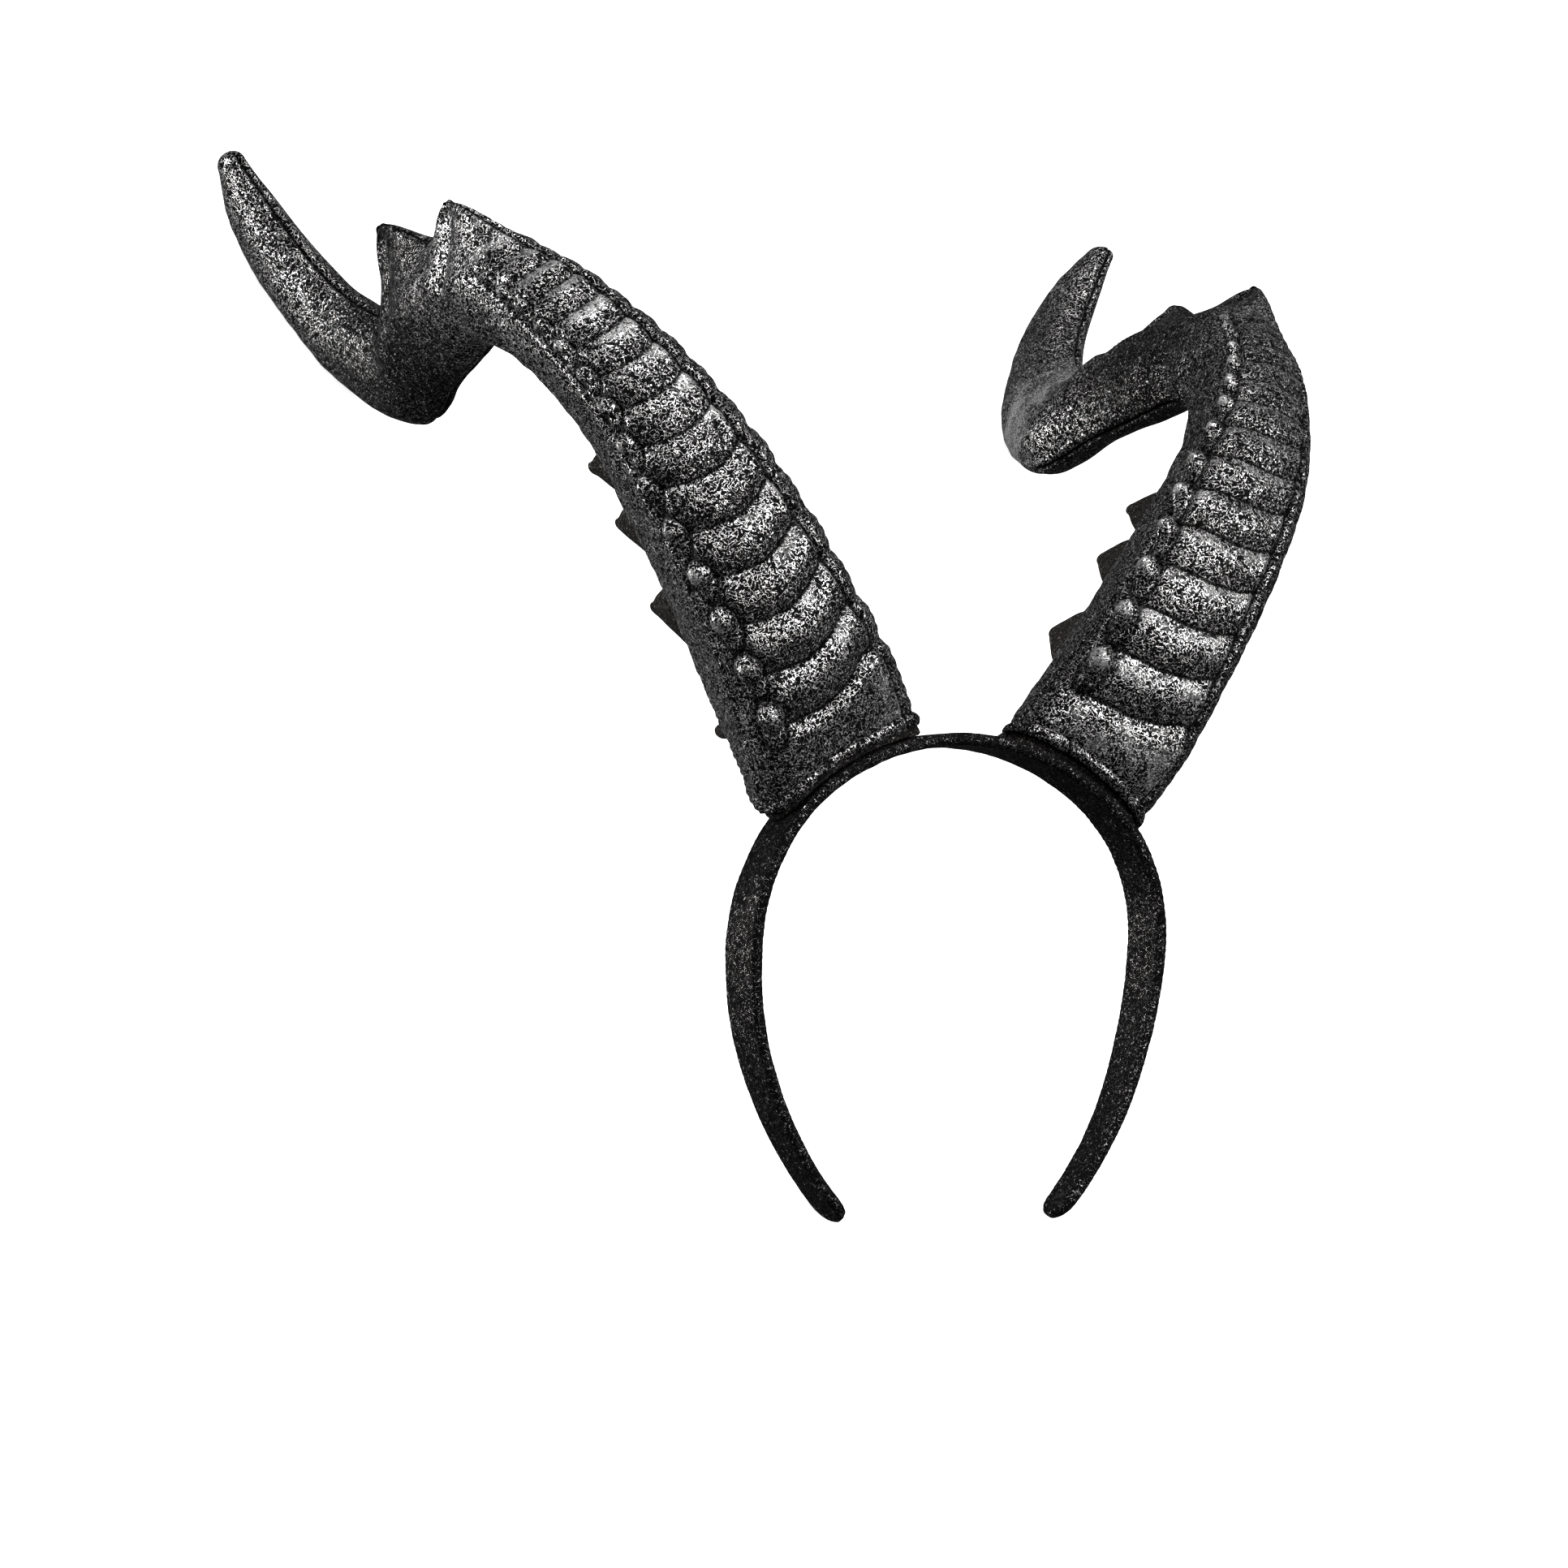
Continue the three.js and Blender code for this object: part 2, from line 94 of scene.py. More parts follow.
# Horn sections from the base to the prong, in the horn's mid plane
SECTION_COLUMNS = ("front_back", "front_up", "rear_back", "rear_up", "half", "shift", "round", "fin")
HORN_SECTIONS = [
    (-11, 0, 37, 7, 30, 3.5, 0, 0),
    (-22, 22, 42, 22, 28.5, 3, 0, 0),
    (-29, 46, 41, 44, 26, 1.5, 0, 0),
    (-31, 80, 35.5, 75, 24, 0.5, 0, 0),
    (-29, 110, 32, 103, 22, 0, 0.1, 0),
    (-23, 133, 31, 127, 20, 0, 0.25, 0),
    (-12, 154, 36, 143.5, 18.5, 0, 0.4, 0),
    (6, 177, 44, 155, 17, 0, 0.6, 0),
    (25, 193, 54, 162, 15.5, 0, 0.8, 0),
    (50, 214.5, 65.5, 164.5, 14.5, 0, 1, 0.35),
    (70, 203, 79, 161, 14.5, 0, 1, 0.05),
    (101, 214, 105, 154, 14.5, 0, 1, 0.35),
    (123, 183, 136, 144, 14, 0, 1, 0.05),
    (147, 194, 170.5, 164, 12, 0, 1, 0),
    (157, 207, 187, 192, 10.5, 0, 1, 0),
    (163, 222, 194, 214, 9, 0, 1, 0),
    (167, 238, 192, 236, 7, 0, 1, 0),
    (170, 250, 184, 250, 4.5, 0, 1, 0),
]
PRONG_TIP_RISE = 5.0

# Soft base of each horn: how much wider each side is and its shift to the right, fading out over rows
HORN_BASES = {-1: {"wider": 2.0, "shift": 0.0}, 1: {"wider": -1.3, "shift": -2.5}}
BASE_FADE_ROWS = 4.5

# Half of a section's outline, front to back: across and depth as shares of half width and depth
OUTLINE_COLUMNS = ("across", "depth")
SECTION_OUTLINE = [
    (0, 0), (0.5, 0), (0.82, 0.03), (0.97, 0.11), (1, 0.22),
    (0.93, 0.4), (0.7, 0.64), (0.4, 0.85), (0.16, 0.97), (0, 1),
]

# How fine the horn's surface is
STATIONS_ON_RIBS = 250
STATIONS_ON_HEAD = 150
AROUND = 156
RAIL_SAMPLES = 4000
RIDGE_SAMPLES = 2000

# Ribs up the front: pillows whose crest lies at a share of the rib, with the depth on each horn
RIB_COUNT = 14
RIB_FIRST = 27.0
RIB_PITCH_LOW = 18.6
RIB_PITCH_HIGH = 9.4
RIB_DEPTH = {-1: 2.5, 1: 1.8}
RIB_END_STRENGTH = 0.4
RIB_CREST = 0.56
RIB_LOWER_POWER = 2.2
RIB_UPPER_POWER = 2.0
GROOVE_LINE_WIDTH = 0.9

# The front panel's swell between its edges, and the swell of the plain cuff below the ribs on each horn
PANEL_LEFT_EDGE = (-1.2, 0.8)
PANEL_RIGHT_EDGE = (-0.6, 1.0)
PANEL_INSET = 2.0
PANEL_SPAN = 0.3
PANEL_BULGE = 1.6
CUFF_BULGE = {-1: 0.4, 1: 2.2}
CUFF_EDGE = (0.8, 1.0)
CUFF_EDGE_POWER = 1.4

# The head starts between these rows of the section table
HEAD_ROWS = (8.0, 9.0)

# Seams: depth of each, the valley's width, and the soft roll on each side of it
SEAM_DEPTH = {"right": 1.1, "left": 0.7, "rear": 0.8, "rear_on_head": 0.6}
SEAM_WIDTH = 0.8
SEAM_ROLL = {"height": 0.4, "at": 2.2, "width": 1.4}
SEAM_SHADE = 1.1

# Slack cloth: soft swells everywhere, short pulls and fine slanted pleats on the sides
SWELL = {"size": 16.0, "height": 0.35}
PULL = {"size": 11.0, "height": 0.55, "squeeze": (1.0, 1.0, 2.4), "on_head": 0.5}
PLEAT = {"pitch": 4.6, "height": 0.22, "slant": 0.7, "wander": 3.0}
SIDES_SPAN = (3.0, 4.5)
CLOTH_SEED = 3.0
PULL_SEED = 4.0

# The hem at the base: a rolled lip and the line above it
HEM_LIP = {"at": 1.6, "width": 1.9, "height": 0.9}
HEM_LINE = {"at": 4.6, "width": 0.8, "depth": 0.7}

# Thorns: size as shares of the rib's pitch, place along the rib, and how they are pinched
THORN_SIZE = {"length": 0.9, "width": 0.5, "height": 0.3}
THORN_PLACE = 1.08
THORN_END_STRENGTH = 0.75
THORN_RINGS = 14
THORN_AROUND = 20
THORN_RIDGE = 1.2
THORN_SKEW = 1.7
THORN_FULLNESS = 0.8
THORN_LIFT = 0.45
THORN_SINK = 0.6
THORN_TAIL_SINK = 0.8
THORN_TIP = {"reach": 0.52, "lift": 0.5, "sink": 0.4}
THORN_FOLD = {"at": 1.15, "width": 0.28, "depth": 0.7, "shade": 0.75}

# Foil on a thorn: at its foot and tip, and the extra foil on its upper crest on each horn, a painted
# highlight
THORN_FOIL = 0.6
THORN_TIP_FOIL = 1.0
THORN_PAINTED_HIGHLIGHT = {-1: 0.7, 1: 1.0}
THORN_PAINTED_HIGHLIGHT_SPAN = (0.68, 0.26)

# The thorn row on each horn: place along the section table and outline index there
THORN_ROW = {
    -1: [(0.0, 1.8), (1.2, 2.2), (2.0, 2.6), (3.1, 2.9), (3.8, 3.4), (4.6, 3.2), (5.6, 2.7), (9.0, 2.2)],
    1: [(0.0, 1.9), (1.4, 2.3), (2.5, 2.9), (4.0, 3.8), (5.2, 3.6), (6.0, 3.4), (9.0, 3.0)],
}

# How far a groove lies above (+) or below its ring, by place across the front panel, on each horn
GROOVE_BOW = {
    -1: [(-1.0, 3.0), (-0.55, -2.8), (-0.1, -5.0), (0.3, -1.5), (0.6, 4.6), (1.0, 6.0)],
    1: [(-1.0, -9.5), (-0.1, -5.2), (0.3, -0.8), (0.6, 4.6), (1.0, 7.0)],
}

# How fast the bow shrinks with the horn's width
BOW_POWER = {-1: 2.0, 1: 0.5}

# The strip beyond the right seam: where it ends, and how strongly the ribs carry on over it on each horn
STRIP_END = (2.6, 5.2)
STRIP_RIBS = {-1: 0.6, 1: 0.2}
STRIP_SHADE = 0.6

# The closed ends of a horn: rounding steps at the prong, insets and rise of the base's underside
PRONG_STEPS = 7
BASE_INSETS = (0.55, 0.85, 0.95)
BASE_RISE = 0.6
BASE_SHADE = 0.8
BASE_FOIL = 0.4
TIP_FOIL = 0.8

# Spikes down the back: tip height, reach behind the back, root length and half thickness
SPIKE_COLUMNS = ("tip_up", "reach", "root", "half")
SPIKES = [(116, 19, 24, 4), (95, 19, 27, 4.5), (64, 20, 31, 5), (15, 18, 33, 5.5)]
SPIKE_TOP_SHARE = 0.22

# How each horn's soft spikes hang: the tip's lean to the right and its droop, the swell of the top
# edge, and the swell of the lower edge backwards and upwards
SPIKE_HANG_COLUMNS = ("lean", "droop", "top", "low_back", "low_up")
SPIKE_HANG = {-1: (0.0, 0.8, 1.6, 0.4, 0.0), 1: (-3.5, 3.0, 2.6, 1.8, -0.8)}
SPIKE_SINK = 3.0
SPIKE_RINGS = 22
SPIKE_AROUND = 28
SPIKE_BLUNT_POWER = 7
SPIKE_BLUNT_LEAST = 0.0004
SPIKE_TIP_REACH = 3.2
SPIKE_TIP_HALF = 1.3
SPIKE_ROOT_SHARE = 0.95
SPIKE_THINNING = 0.8
SPIKE_PUFF = 1.25
SPIKE_TIP_NUDGE = (0.3, 0.4, 0.0)
SPIKE_SWELL = {"height": 0.25, "size": 6.0, "seed": 0.1}

# Foil and shade on a spike, from its root to its tip
SPIKE_FOIL = (0.55, 0.85)
SPIKE_END_FOIL = (0.5, 0.8)
SPIKE_ROOT_SHADE = 0.55
SPIKE_ROOT_SPAN = (0.12, 0.3)
SPIKE_END_SHADE = (0.6, 0.0)

# Softening of the base pads, and their foil and shade
PAD_VOXEL = 0.0007
PAD_RELAX = 0.5
PAD_RELAX_STEPS = 6
PAD_SURFACE = {"foil": 0.4, "groove": 0.35}

# Camera: where it stood as seen from the band's top, and where that top is in the picture
IMAGE_SIDE = 1932
CAMERA_YAW = 33.0
CAMERA_ELEVATION = -3.88
CAMERA_DISTANCE = 1.536
CAMERA_FOCAL_PX = 5714.0
BAND_TOP_PX = (1172.5, 905.0)
SENSOR_MM = 36.0
CAMERA_FAR = 20.0
FLOOR_HALF = 6.0


def lerp(low, high, share):
    return low + (high - low) * share


def smoothstep(value, low, high):
    share = np.clip((value - low) / (high - low), 0.0, 1.0)
    return share * share * (3.0 - 2.0 * share)


def bell(distance, width):
    return np.exp(-((distance / width) ** 2))


def lay_matrix():
    """Worn millimetres to row metres, from the head rest's place and direction in the record."""
    rest = frame["record"]["mounts"][0]
    up = -Vector(rest["axis"]).normalized()
    right = Vector((1.0, 0.0, 0.0))
    back = up.cross(right)
    turn = Matrix((right, back, up)).transposed()
    place = Vector(rest["pos_m"]) - turn @ Vector((0.0, -BAND_FORWARD * MM, HEAD_REST_UP * MM))
    return Matrix.Translation(place) @ turn.to_4x4() @ Matrix.Scale(MM, 4)


LAY = lay_matrix()


def horn_matrix(side):
    """The horn's own millimetres to worn millimetres, for the left (-1) or the right (1) horn."""
    turn = math.radians(HORN_MOUNT_DEGREES) * side
    radius = BAND_ARCS[0][0]
    outward = radius + HORN_LIFT
    place = Matrix.Translation((outward * math.sin(turn), 0.0, outward * math.cos(turn) - radius))
    return place @ Matrix.Rotation(math.radians(HORN_LEAN_DEGREES) * side, 4, "Y")


def transformed(points, matrix):
    grid = np.asarray(points, float)
    turn = np.array(matrix.to_3x3())
    return grid @ turn.T + np.array(matrix.translation)


def field(points, scale, seed):
    """Smooth seeded noise, from -1 to 1, at points in millimetres; scale is the size of a swell."""
    shift = Vector((seed * 17.3, seed * 5.1, seed * 9.7))
    flat = points.reshape(-1, 3) / scale
    values = [noise.noise(Vector(point) + shift) for point in flat]
    return np.array(values).reshape(points.shape[:-1])


def curve_points(controls, places):
    """Centripetal Catmull-Rom curve through the controls, at places counted in rows."""
    controls = np.asarray(controls, float)
    padded = np.vstack((2 * controls[0] - controls[1], controls, 2 * controls[-1] - controls[-2]))
    gaps = np.maximum(np.linalg.norm(np.diff(padded, axis=0), axis=1) ** 0.5, 1e-4)
    row = np.clip(np.floor(places).astype(int), 0, len(controls) - 2)
    part = (places - row)[:, None]
    p0, p1, p2, p3 = (padded[row + offset] for offset in range(4))
    d0, d1, d2 = (gaps[row + offset][:, None] for offset in range(3))
    leave = ((p1 - p0) / d0 - (p2 - p0) / (d0 + d1) + (p2 - p1) / d1) * d1
    arrive = ((p2 - p1) / d1 - (p3 - p1) / (d1 + d2) + (p3 - p2) / d2) * d1
    square = part * part
    cube = square * part
    return (
        p1
        + leave * part
        + (-3 * p1 + 3 * p2 - 2 * leave - arrive) * square
        + (2 * p1 - 2 * p2 + leave + arrive) * cube
    )


def make_object(name, points, faces, material, attributes=None):
    mesh = bpy.data.meshes.new(name)
    mesh.from_pydata([tuple(point) for point in points], [], faces)
    mesh.validate()
    for key, values in (attributes or {}).items():
        layer = mesh.attributes.new(key, "FLOAT", "POINT")
        layer.data.foreach_set("value", np.asarray(values, np.float32))
    mesh.polygons.foreach_set("use_smooth", [True] * len(mesh.polygons))
    mesh.materials.append(material)
    item = bpy.data.objects.new(name, mesh)
    bpy.context.scene.collection.objects.link(item)
    return item


def grid_faces(rings, count):
    """Quads between rings of equal length, and fans to one extra point at each end."""
    faces = []
    for ring in range(rings - 1):
        low = ring * count
        for side in range(count):
            turn = (side + 1) % count
            faces.append((low + side, low + turn, low + count + turn, low + count + side))
    start = rings * count
    last = (rings - 1) * count
    for side in range(count):
        turn = (side + 1) % count
        faces.append((start, turn, side))
        faces.append((start + 1, last + side, last + turn))
    return faces


def facing_out(points, faces):
    """The faces turned so that the closed mesh they make has a positive volume."""
    volume = 0.0
    for face in faces:
        for corner in range(1, len(face) - 1):
            one, two, three = points[face[0]], points[face[corner]], points[face[corner + 1]]
            volume += np.dot(one, np.cross(two, three))
    if volume >= 0:
        return faces
    return [tuple(reversed(face)) for face in faces]


def grid_normals(grid):
    """Unit normals of a grid of closed rings, pointing away from each ring's middle."""
    along = np.gradient(grid, axis=0)
    around = np.roll(grid, -1, axis=1) - np.roll(grid, 1, axis=1)
    normals = np.cross(around, along)
    normals /= np.maximum(np.linalg.norm(normals, axis=2, keepdims=True), 1e-9)
    outward = grid - grid.mean(axis=1, keepdims=True)
    sign = np.sign((normals * outward).sum(axis=(1, 2)))
    sign[sign == 0] = 1.0
    return normals * sign[:, None, None]


# Materials

# Patterns of the foil. Scales are shares of the curls' scale, and a range gives where a pattern starts and
# is full, and its values there.
FINE_DETAIL = 2.0
VEIN_DETAIL = 0.5
MIDDLE_LEVEL = 0.5
PATCH_SCALE = 110.0
PATCH_DISTORTION = 0.4
PATCH_RANGE = (0.34, 0.66, 0.82, 1.1)
CURL_DISTORTION = 0.6
CURL_WIDTH = 0.037
CURL_CORE = 0.5
CURL_SOFT = 0.004
BREAK_SCALE = 0.6
BREAK_DISTORTION = 0.3
BREAK_RANGE = (0.3, 0.42)
DOT_SCALE = 0.9
DOT_EDGE = (0.2, 0.28, 1.0, 0.0)
DOT_CHOICE = (0.7, 0.76)
DOT_FOIL_RANGE = (0.0, 0.6)
DOT_LEAST = 0.3
CRACK_SCALE = 0.7
CRACK_DISTORTION = 0.8
CRACK_EDGE = (0.03, 0.08)
SHEET_RANGE = (1.0, 1.5, 0.0, 0.32)

# Surface of the foil and of the fabric under it. The groove attribute paints shade into folds, seams and
# creases: it dims the flecks, darkens the cloth to near black and takes its shine away there.
GROOVE_SHADE_ON_FLECKS = (0.15, 0.8, 1.0, 0.05)
PAINTED_SHADE_SPAN = (0.1, 0.8)
PAINTED_SHADE_BLACK = (0.002, 0.002, 0.002, 1.0)
FLECK_METAL = 0.85
FLECK_ROUGHNESS = (0.0, 1.0, 0.5, 0.27)
CLOTH_SHINE = 0.015
WEAVE_SCALE = 4.0
WEAVE_ROUGHNESS = (0.3, 0.7, 0.8, 1.2)

# Bumps: strength and height in metres
TILT_SCALE = 0.8
TILT_BUMP = (0.4, 0.0008)
FLECK_BUMP = (0.25, 0.0003)
WEAVE_BUMP = (0.25, 0.0002)

FLOOR_SCALE = 3.0
FLOOR_RANGE = (0.3, 0.7)
FLOOR_TONES = ((0.9, 0.9, 0.9, 1.0), (0.93, 0.93, 0.93, 1.0))


class Nodes:
    """Short calls for making one material's nodes."""

    def __init__(self, name):
        self.material = bpy.data.materials.new(name)
        self.material.use_nodes = True
        self.tree = self.material.node_tree
        self.shader = self.tree.nodes["Principled BSDF"]
        self.place = self.add("ShaderNodeTexCoord").outputs["Object"]

    def add(self, kind, **settings):
        item = self.tree.nodes.new(kind)
        for key, value in settings.items():
            setattr(item, key, value)
        return item

    def feed(self, socket, value):
        if isinstance(value, bpy.types.NodeSocket):
            self.tree.links.new(value, socket)
        else:
            socket.default_value = value

    def noise(self, scale, detail, distortion=0.0):
        item = self.add("ShaderNodeTexNoise")
        self.feed(item.inputs["Vector"], self.place)
        item.inputs["Scale"].default_value = scale
        item.inputs["Detail"].default_value = detail
        item.inputs["Distortion"].default_value = distortion
        return item.outputs["Fac"]

    def math(self, operation, first, second=0.0):
        item = self.add("ShaderNodeMath", operation=operation)
        self.feed(item.inputs[0], first)
        self.feed(item.inputs[1], second)
        return item.outputs[0]

    def ramp(self, value, low, high, to_low=0.0, to_high=1.0):
        item = self.add("ShaderNodeMapRange", interpolation_type="SMOOTHSTEP")
        ends = (value, low, high, to_low, to_high)
        for socket, end in zip(item.inputs, ends):
            self.feed(socket, end)
        return item.outputs[0]

    def veins(self, scale, distortion):
        """Distance from the middle level of a noise, which is least along winding lines."""
        level = self.noise(scale, VEIN_DETAIL, distortion)
        return self.math("ABSOLUTE", self.math("SUBTRACT", level, MIDDLE_LEVEL))

    def attribute(self, name):
        return self.add("ShaderNodeAttribute", attribute_name=name).outputs["Fac"]

    def colour(self, share, first, second):
        item = self.add("ShaderNodeMix", data_type="RGBA")
        self.feed(item.inputs["Factor"], share)
        self.feed(item.inputs["A"], first)
        self.feed(item.inputs["B"], second)
        return item.outputs["Result"]

    def bump(self, height, strength, distance, normal=None):
        item = self.add("ShaderNodeBump")
        item.inputs["Strength"].default_value = strength
        item.inputs["Distance"].default_value = distance
        self.feed(item.inputs["Height"], height)
        if normal is not None:
            self.feed(item.inputs["Normal"], normal)
        return item.outputs["Normal"]


def foil_material(name, cover, silver, cloth, scale, sparkle):
    """Black fabric under crackled silver foil: short curled flecks and dots that stand a little proud, with
    shade painted in where the groove attribute is high.
    """
    make = Nodes(name)
    foil = make.attribute("foil")
    groove = make.attribute("groove")
    patches = make.ramp(make.noise(PATCH_SCALE, FINE_DETAIL, PATCH_DISTORTION), *PATCH_RANGE)
    amount = make.math("MULTIPLY", make.math("MULTIPLY", foil, patches), cover)
    width = make.math("MULTIPLY", amount, CURL_WIDTH)
    edge = make.math("MULTIPLY", width, CURL_CORE)
    curls = make.ramp(make.veins(scale, CURL_DISTORTION), edge, make.math("ADD", width, CURL_SOFT), 1.0, 0.0)
    breaks = make.ramp(make.noise(scale * BREAK_SCALE, VEIN_DETAIL, BREAK_DISTORTION), *BREAK_RANGE)
    curls = make.math("MULTIPLY", curls, breaks)
    cells = make.add("ShaderNodeTexVoronoi")
    make.feed(cells.inputs["Vector"], make.place)
    cells.inputs["Scale"].default_value = scale * DOT_SCALE
    dots = make.ramp(cells.outputs["Distance"], *DOT_EDGE)
    dots = make.math("MULTIPLY", dots, make.ramp(cells.outputs["Color"], *DOT_CHOICE))
    dots = make.math("MULTIPLY", dots, make.ramp(foil, *DOT_FOIL_RANGE, DOT_LEAST, sparkle))
    cracks = make.ramp(make.veins(scale * CRACK_SCALE, CRACK_DISTORTION), *CRACK_EDGE)
    sheet = make.math("MULTIPLY", make.ramp(amount, *SHEET_RANGE), cracks)
    flecks = make.math("MAXIMUM", make.math("MAXIMUM", curls, dots), sheet)
    # painted shade: the flecks fade where the groove attribute is high
    flecks = make.math("MULTIPLY", flecks, make.ramp(groove, *GROOVE_SHADE_ON_FLECKS))
    weave = make.noise(scale * WEAVE_SCALE, FINE_DETAIL)
    # painted shade: the cloth darkens to near black in the folds
    cloth_and_painted_shade = make.colour(make.ramp(groove, *PAINTED_SHADE_SPAN), cloth, PAINTED_SHADE_BLACK)
    rough = make.math("MULTIPLY", make.ramp(flecks, *FLECK_ROUGHNESS), make.ramp(weave, *WEAVE_ROUGHNESS))
    tilt = make.bump(make.noise(scale * TILT_SCALE, FINE_DETAIL), *TILT_BUMP)
    raised = make.bump(flecks, *FLECK_BUMP, tilt)
    make.feed(make.shader.inputs["Base Color"], make.colour(flecks, cloth_and_painted_shade, silver))
    make.feed(make.shader.inputs["Metallic"], make.math("MULTIPLY", flecks, FLECK_METAL))
    make.feed(make.shader.inputs["Roughness"], rough)
    # painted shade: no shine in the folds
    make.feed(make.shader.inputs["Specular IOR Level"], make.ramp(groove, *PAINTED_SHADE_SPAN, CLOTH_SHINE, 0.0))
    make.feed(make.shader.inputs["Normal"], make.bump(weave, *WEAVE_BUMP, raised))
    return make.material


def floor_material():
    make = Nodes("pale_floor")
    tone = make.ramp(make.noise(FLOOR_SCALE, FINE_DETAIL), *FLOOR_RANGE)
    make.feed(make.shader.inputs["Base Color"], make.colour(tone, *FLOOR_TONES))
    make.shader.inputs["Roughness"].default_value = 0.9
    make.shader.inputs["Specular IOR Level"].default_value = 0.1
    make.shader.inputs["Emission Color"].default_value = (1.0, 1.0, 1.0, 1.0)
    make.shader.inputs["Emission Strength"].default_value = 0.9
    return make.material


SILVER = (0.82, 0.815, 0.81, 1.0)
BLACK_CLOTH = (0.0028, 0.0028, 0.003, 1.0)
GREY_CLOTH = (0.009, 0.0083, 0.0078, 1.0)
DULL_SILVER = (0.5, 0.49, 0.48, 1.0)
WARM_SILVER = (0.45, 0.43, 0.41, 1.0)
HORN_FOIL = foil_material("horn_foil", 1.0, SILVER, BLACK_CLOTH, scale=900.0, sparkle=1.0)
SPIKE_FABRIC = foil_material("spike_fabric", 0.3, WARM_SILVER, GREY_CLOTH, scale=860.0, sparkle=0.4)
BAND_FABRIC = foil_material("band_fabric", 0.13, DULL_SILVER, BLACK_CLOTH, scale=760.0, sparkle=0.3)


# Horns


def columns(table, names):
    return dict(zip(names, np.array(table, float).T))


SECTIONS = columns(HORN_SECTIONS, SECTION_COLUMNS)
OUTLINE = columns(SECTION_OUTLINE, OUTLINE_COLUMNS)
LAST_ROW = len(HORN_SECTIONS) - 1
LAST_INDEX = len(SECTION_OUTLINE) - 1


def rail(end, places):
    """Points of the front or rear rail as (back, up)."""
    controls = np.stack((SECTIONS[end + "_back"], SECTIONS[end + "_up"]), axis=1)
    return curve_points(controls, places)


def rib_starts():
    starts = [RIB_FIRST]
    for rib in range(RIB_COUNT):
        starts.append(starts[-1] + lerp(RIB_PITCH_LOW, RIB_PITCH_HIGH, rib / (RIB_COUNT - 1)))
    return starts


def horn_stations():
    """Places along the section table and the distance up the front rail at each."""
    fine = np.linspace(0.0, LAST_ROW, RAIL_SAMPLES)
    line = rail("front", fine)
    lengths = np.concatenate(([0.0], np.cumsum(np.linalg.norm(np.diff(line, axis=0), axis=1))))
    ribs_end = rib_starts()[-1]
    low = np.interp(np.linspace(0.0, ribs_end, STATIONS_ON_RIBS, endpoint=False), lengths, fine)
    head = np.linspace(np.interp(ribs_end, lengths, fine), LAST_ROW, STATIONS_ON_HEAD + 1)
    place = np.concatenate((low, head))
    return {"place": place, "length": np.interp(place, fine, lengths)}


def rib_phase(length):
    """Which rib a distance up the front lies on, -1 below the first, and the share of it passed."""
    starts = np.array([0.0] + rib_starts())
    rib = np.clip(np.searchsorted(starts, length, side="right") - 1, 0, RIB_COUNT)
    share = (length - starts[rib]) / (starts[rib + 1] - starts[rib])
    return rib - 1, np.clip(share, 0.0, 1.0)


def outline_index():
    """Signed outline index around a ring: 0 at the front, +9 down the right side, -9 up the left."""
    half = np.arange(AROUND // 2 + 1) * (2.0 * LAST_INDEX / AROUND)
    return np.concatenate((half, -half[-2:0:-1]))


def horn_base_grid(stations, index, side):
    """The plain horn, before ribs and seams, as a grid of points."""
    place = stations["place"]
    front = rail("front", place)
    rear = rail("rear", place)
    row = {key: np.interp(place, np.arange(LAST_ROW + 1), SECTIONS[key]) for key in SECTION_COLUMNS[4:]}
    fade = np.maximum(0.0, 1.0 - place / BASE_FADE_ROWS)
    row["half"] = row["half"] + HORN_BASES[side]["wider"] * fade
    row["shift"] = row["shift"] + HORN_BASES[side]["shift"] * fade
    size = np.abs(index)
    outline = curve_points(np.stack((OUTLINE["across"], OUTLINE["depth"]), axis=1), size)
    turn = size / LAST_INDEX * math.pi
    rounded = row["round"][:, None]
    fin = row["fin"][:, None]
    slimming = np.clip(np.maximum(outline[:, 1], 0.02)[None, :] / np.maximum(fin, 1e-6), 0.0, 1.0)
    slim = lerp(1.0, slimming, np.minimum(1.0, fin * 3.0))
    across = lerp(outline[:, 0][None, :], np.sin(turn)[None, :], rounded) * slim
    inward = lerp(outline[:, 1][None, :], ((1.0 - np.cos(turn)) / 2.0)[None, :], rounded)
    inward = np.maximum(inward, 0.0)
    x = row["shift"][:, None] + np.sign(index)[None, :] * across * row["half"][:, None]
    way = rear - front
    back = front[:, 0][:, None] + inward * way[:, 0][:, None]
    up = front[:, 1][:, None] + inward * way[:, 1][:, None]
    up = up - x * x / (2.0 * BAND_ARCS[0][0]) * np.maximum(0.0, 1.0 - place)[:, None]
    return np.stack((x, back, up), axis=2)


def arc_positions(grid):
    """Distance along each ring from its front point, negative on the left."""
    steps = np.linalg.norm(np.roll(grid, -1, axis=1) - grid, axis=2)
    half = AROUND // 2
    right = np.concatenate((np.zeros((len(grid), 1)), np.cumsum(steps[:, :half], axis=1)), axis=1)
    left = np.cumsum(steps[:, ::-1], axis=1)
    arcs = np.zeros(grid.shape[:2])
    arcs[:, : half + 1] = right
    arcs[:, half + 1:] = -left[:, : half - 1][:, ::-1]
    return arcs


def arc_at(arcs, index, wanted):
    """Arc position of an outline index, which may differ from ring to ring."""
    order = np.argsort(index)
    rows = [np.interp(value, index[order], arcs[ring][order]) for ring, value in enumerate(wanted)]
    return np.array(rows)


# Seams down the sides of a horn: place along the section table and outline index there
RIGHT_SEAM = [(0.0, 1.75), (1.0, 1.7), (3.0, 1.25), (5.0, 1.15), (7.5, 1.1), (9.0, 0.0), (17.0, 0.0)]
LEFT_SEAM = [(0.0, 4.1), (2.0, 3.9), (5.0, 3.6), (8.0, 2.6), (17.0, 2.0)]
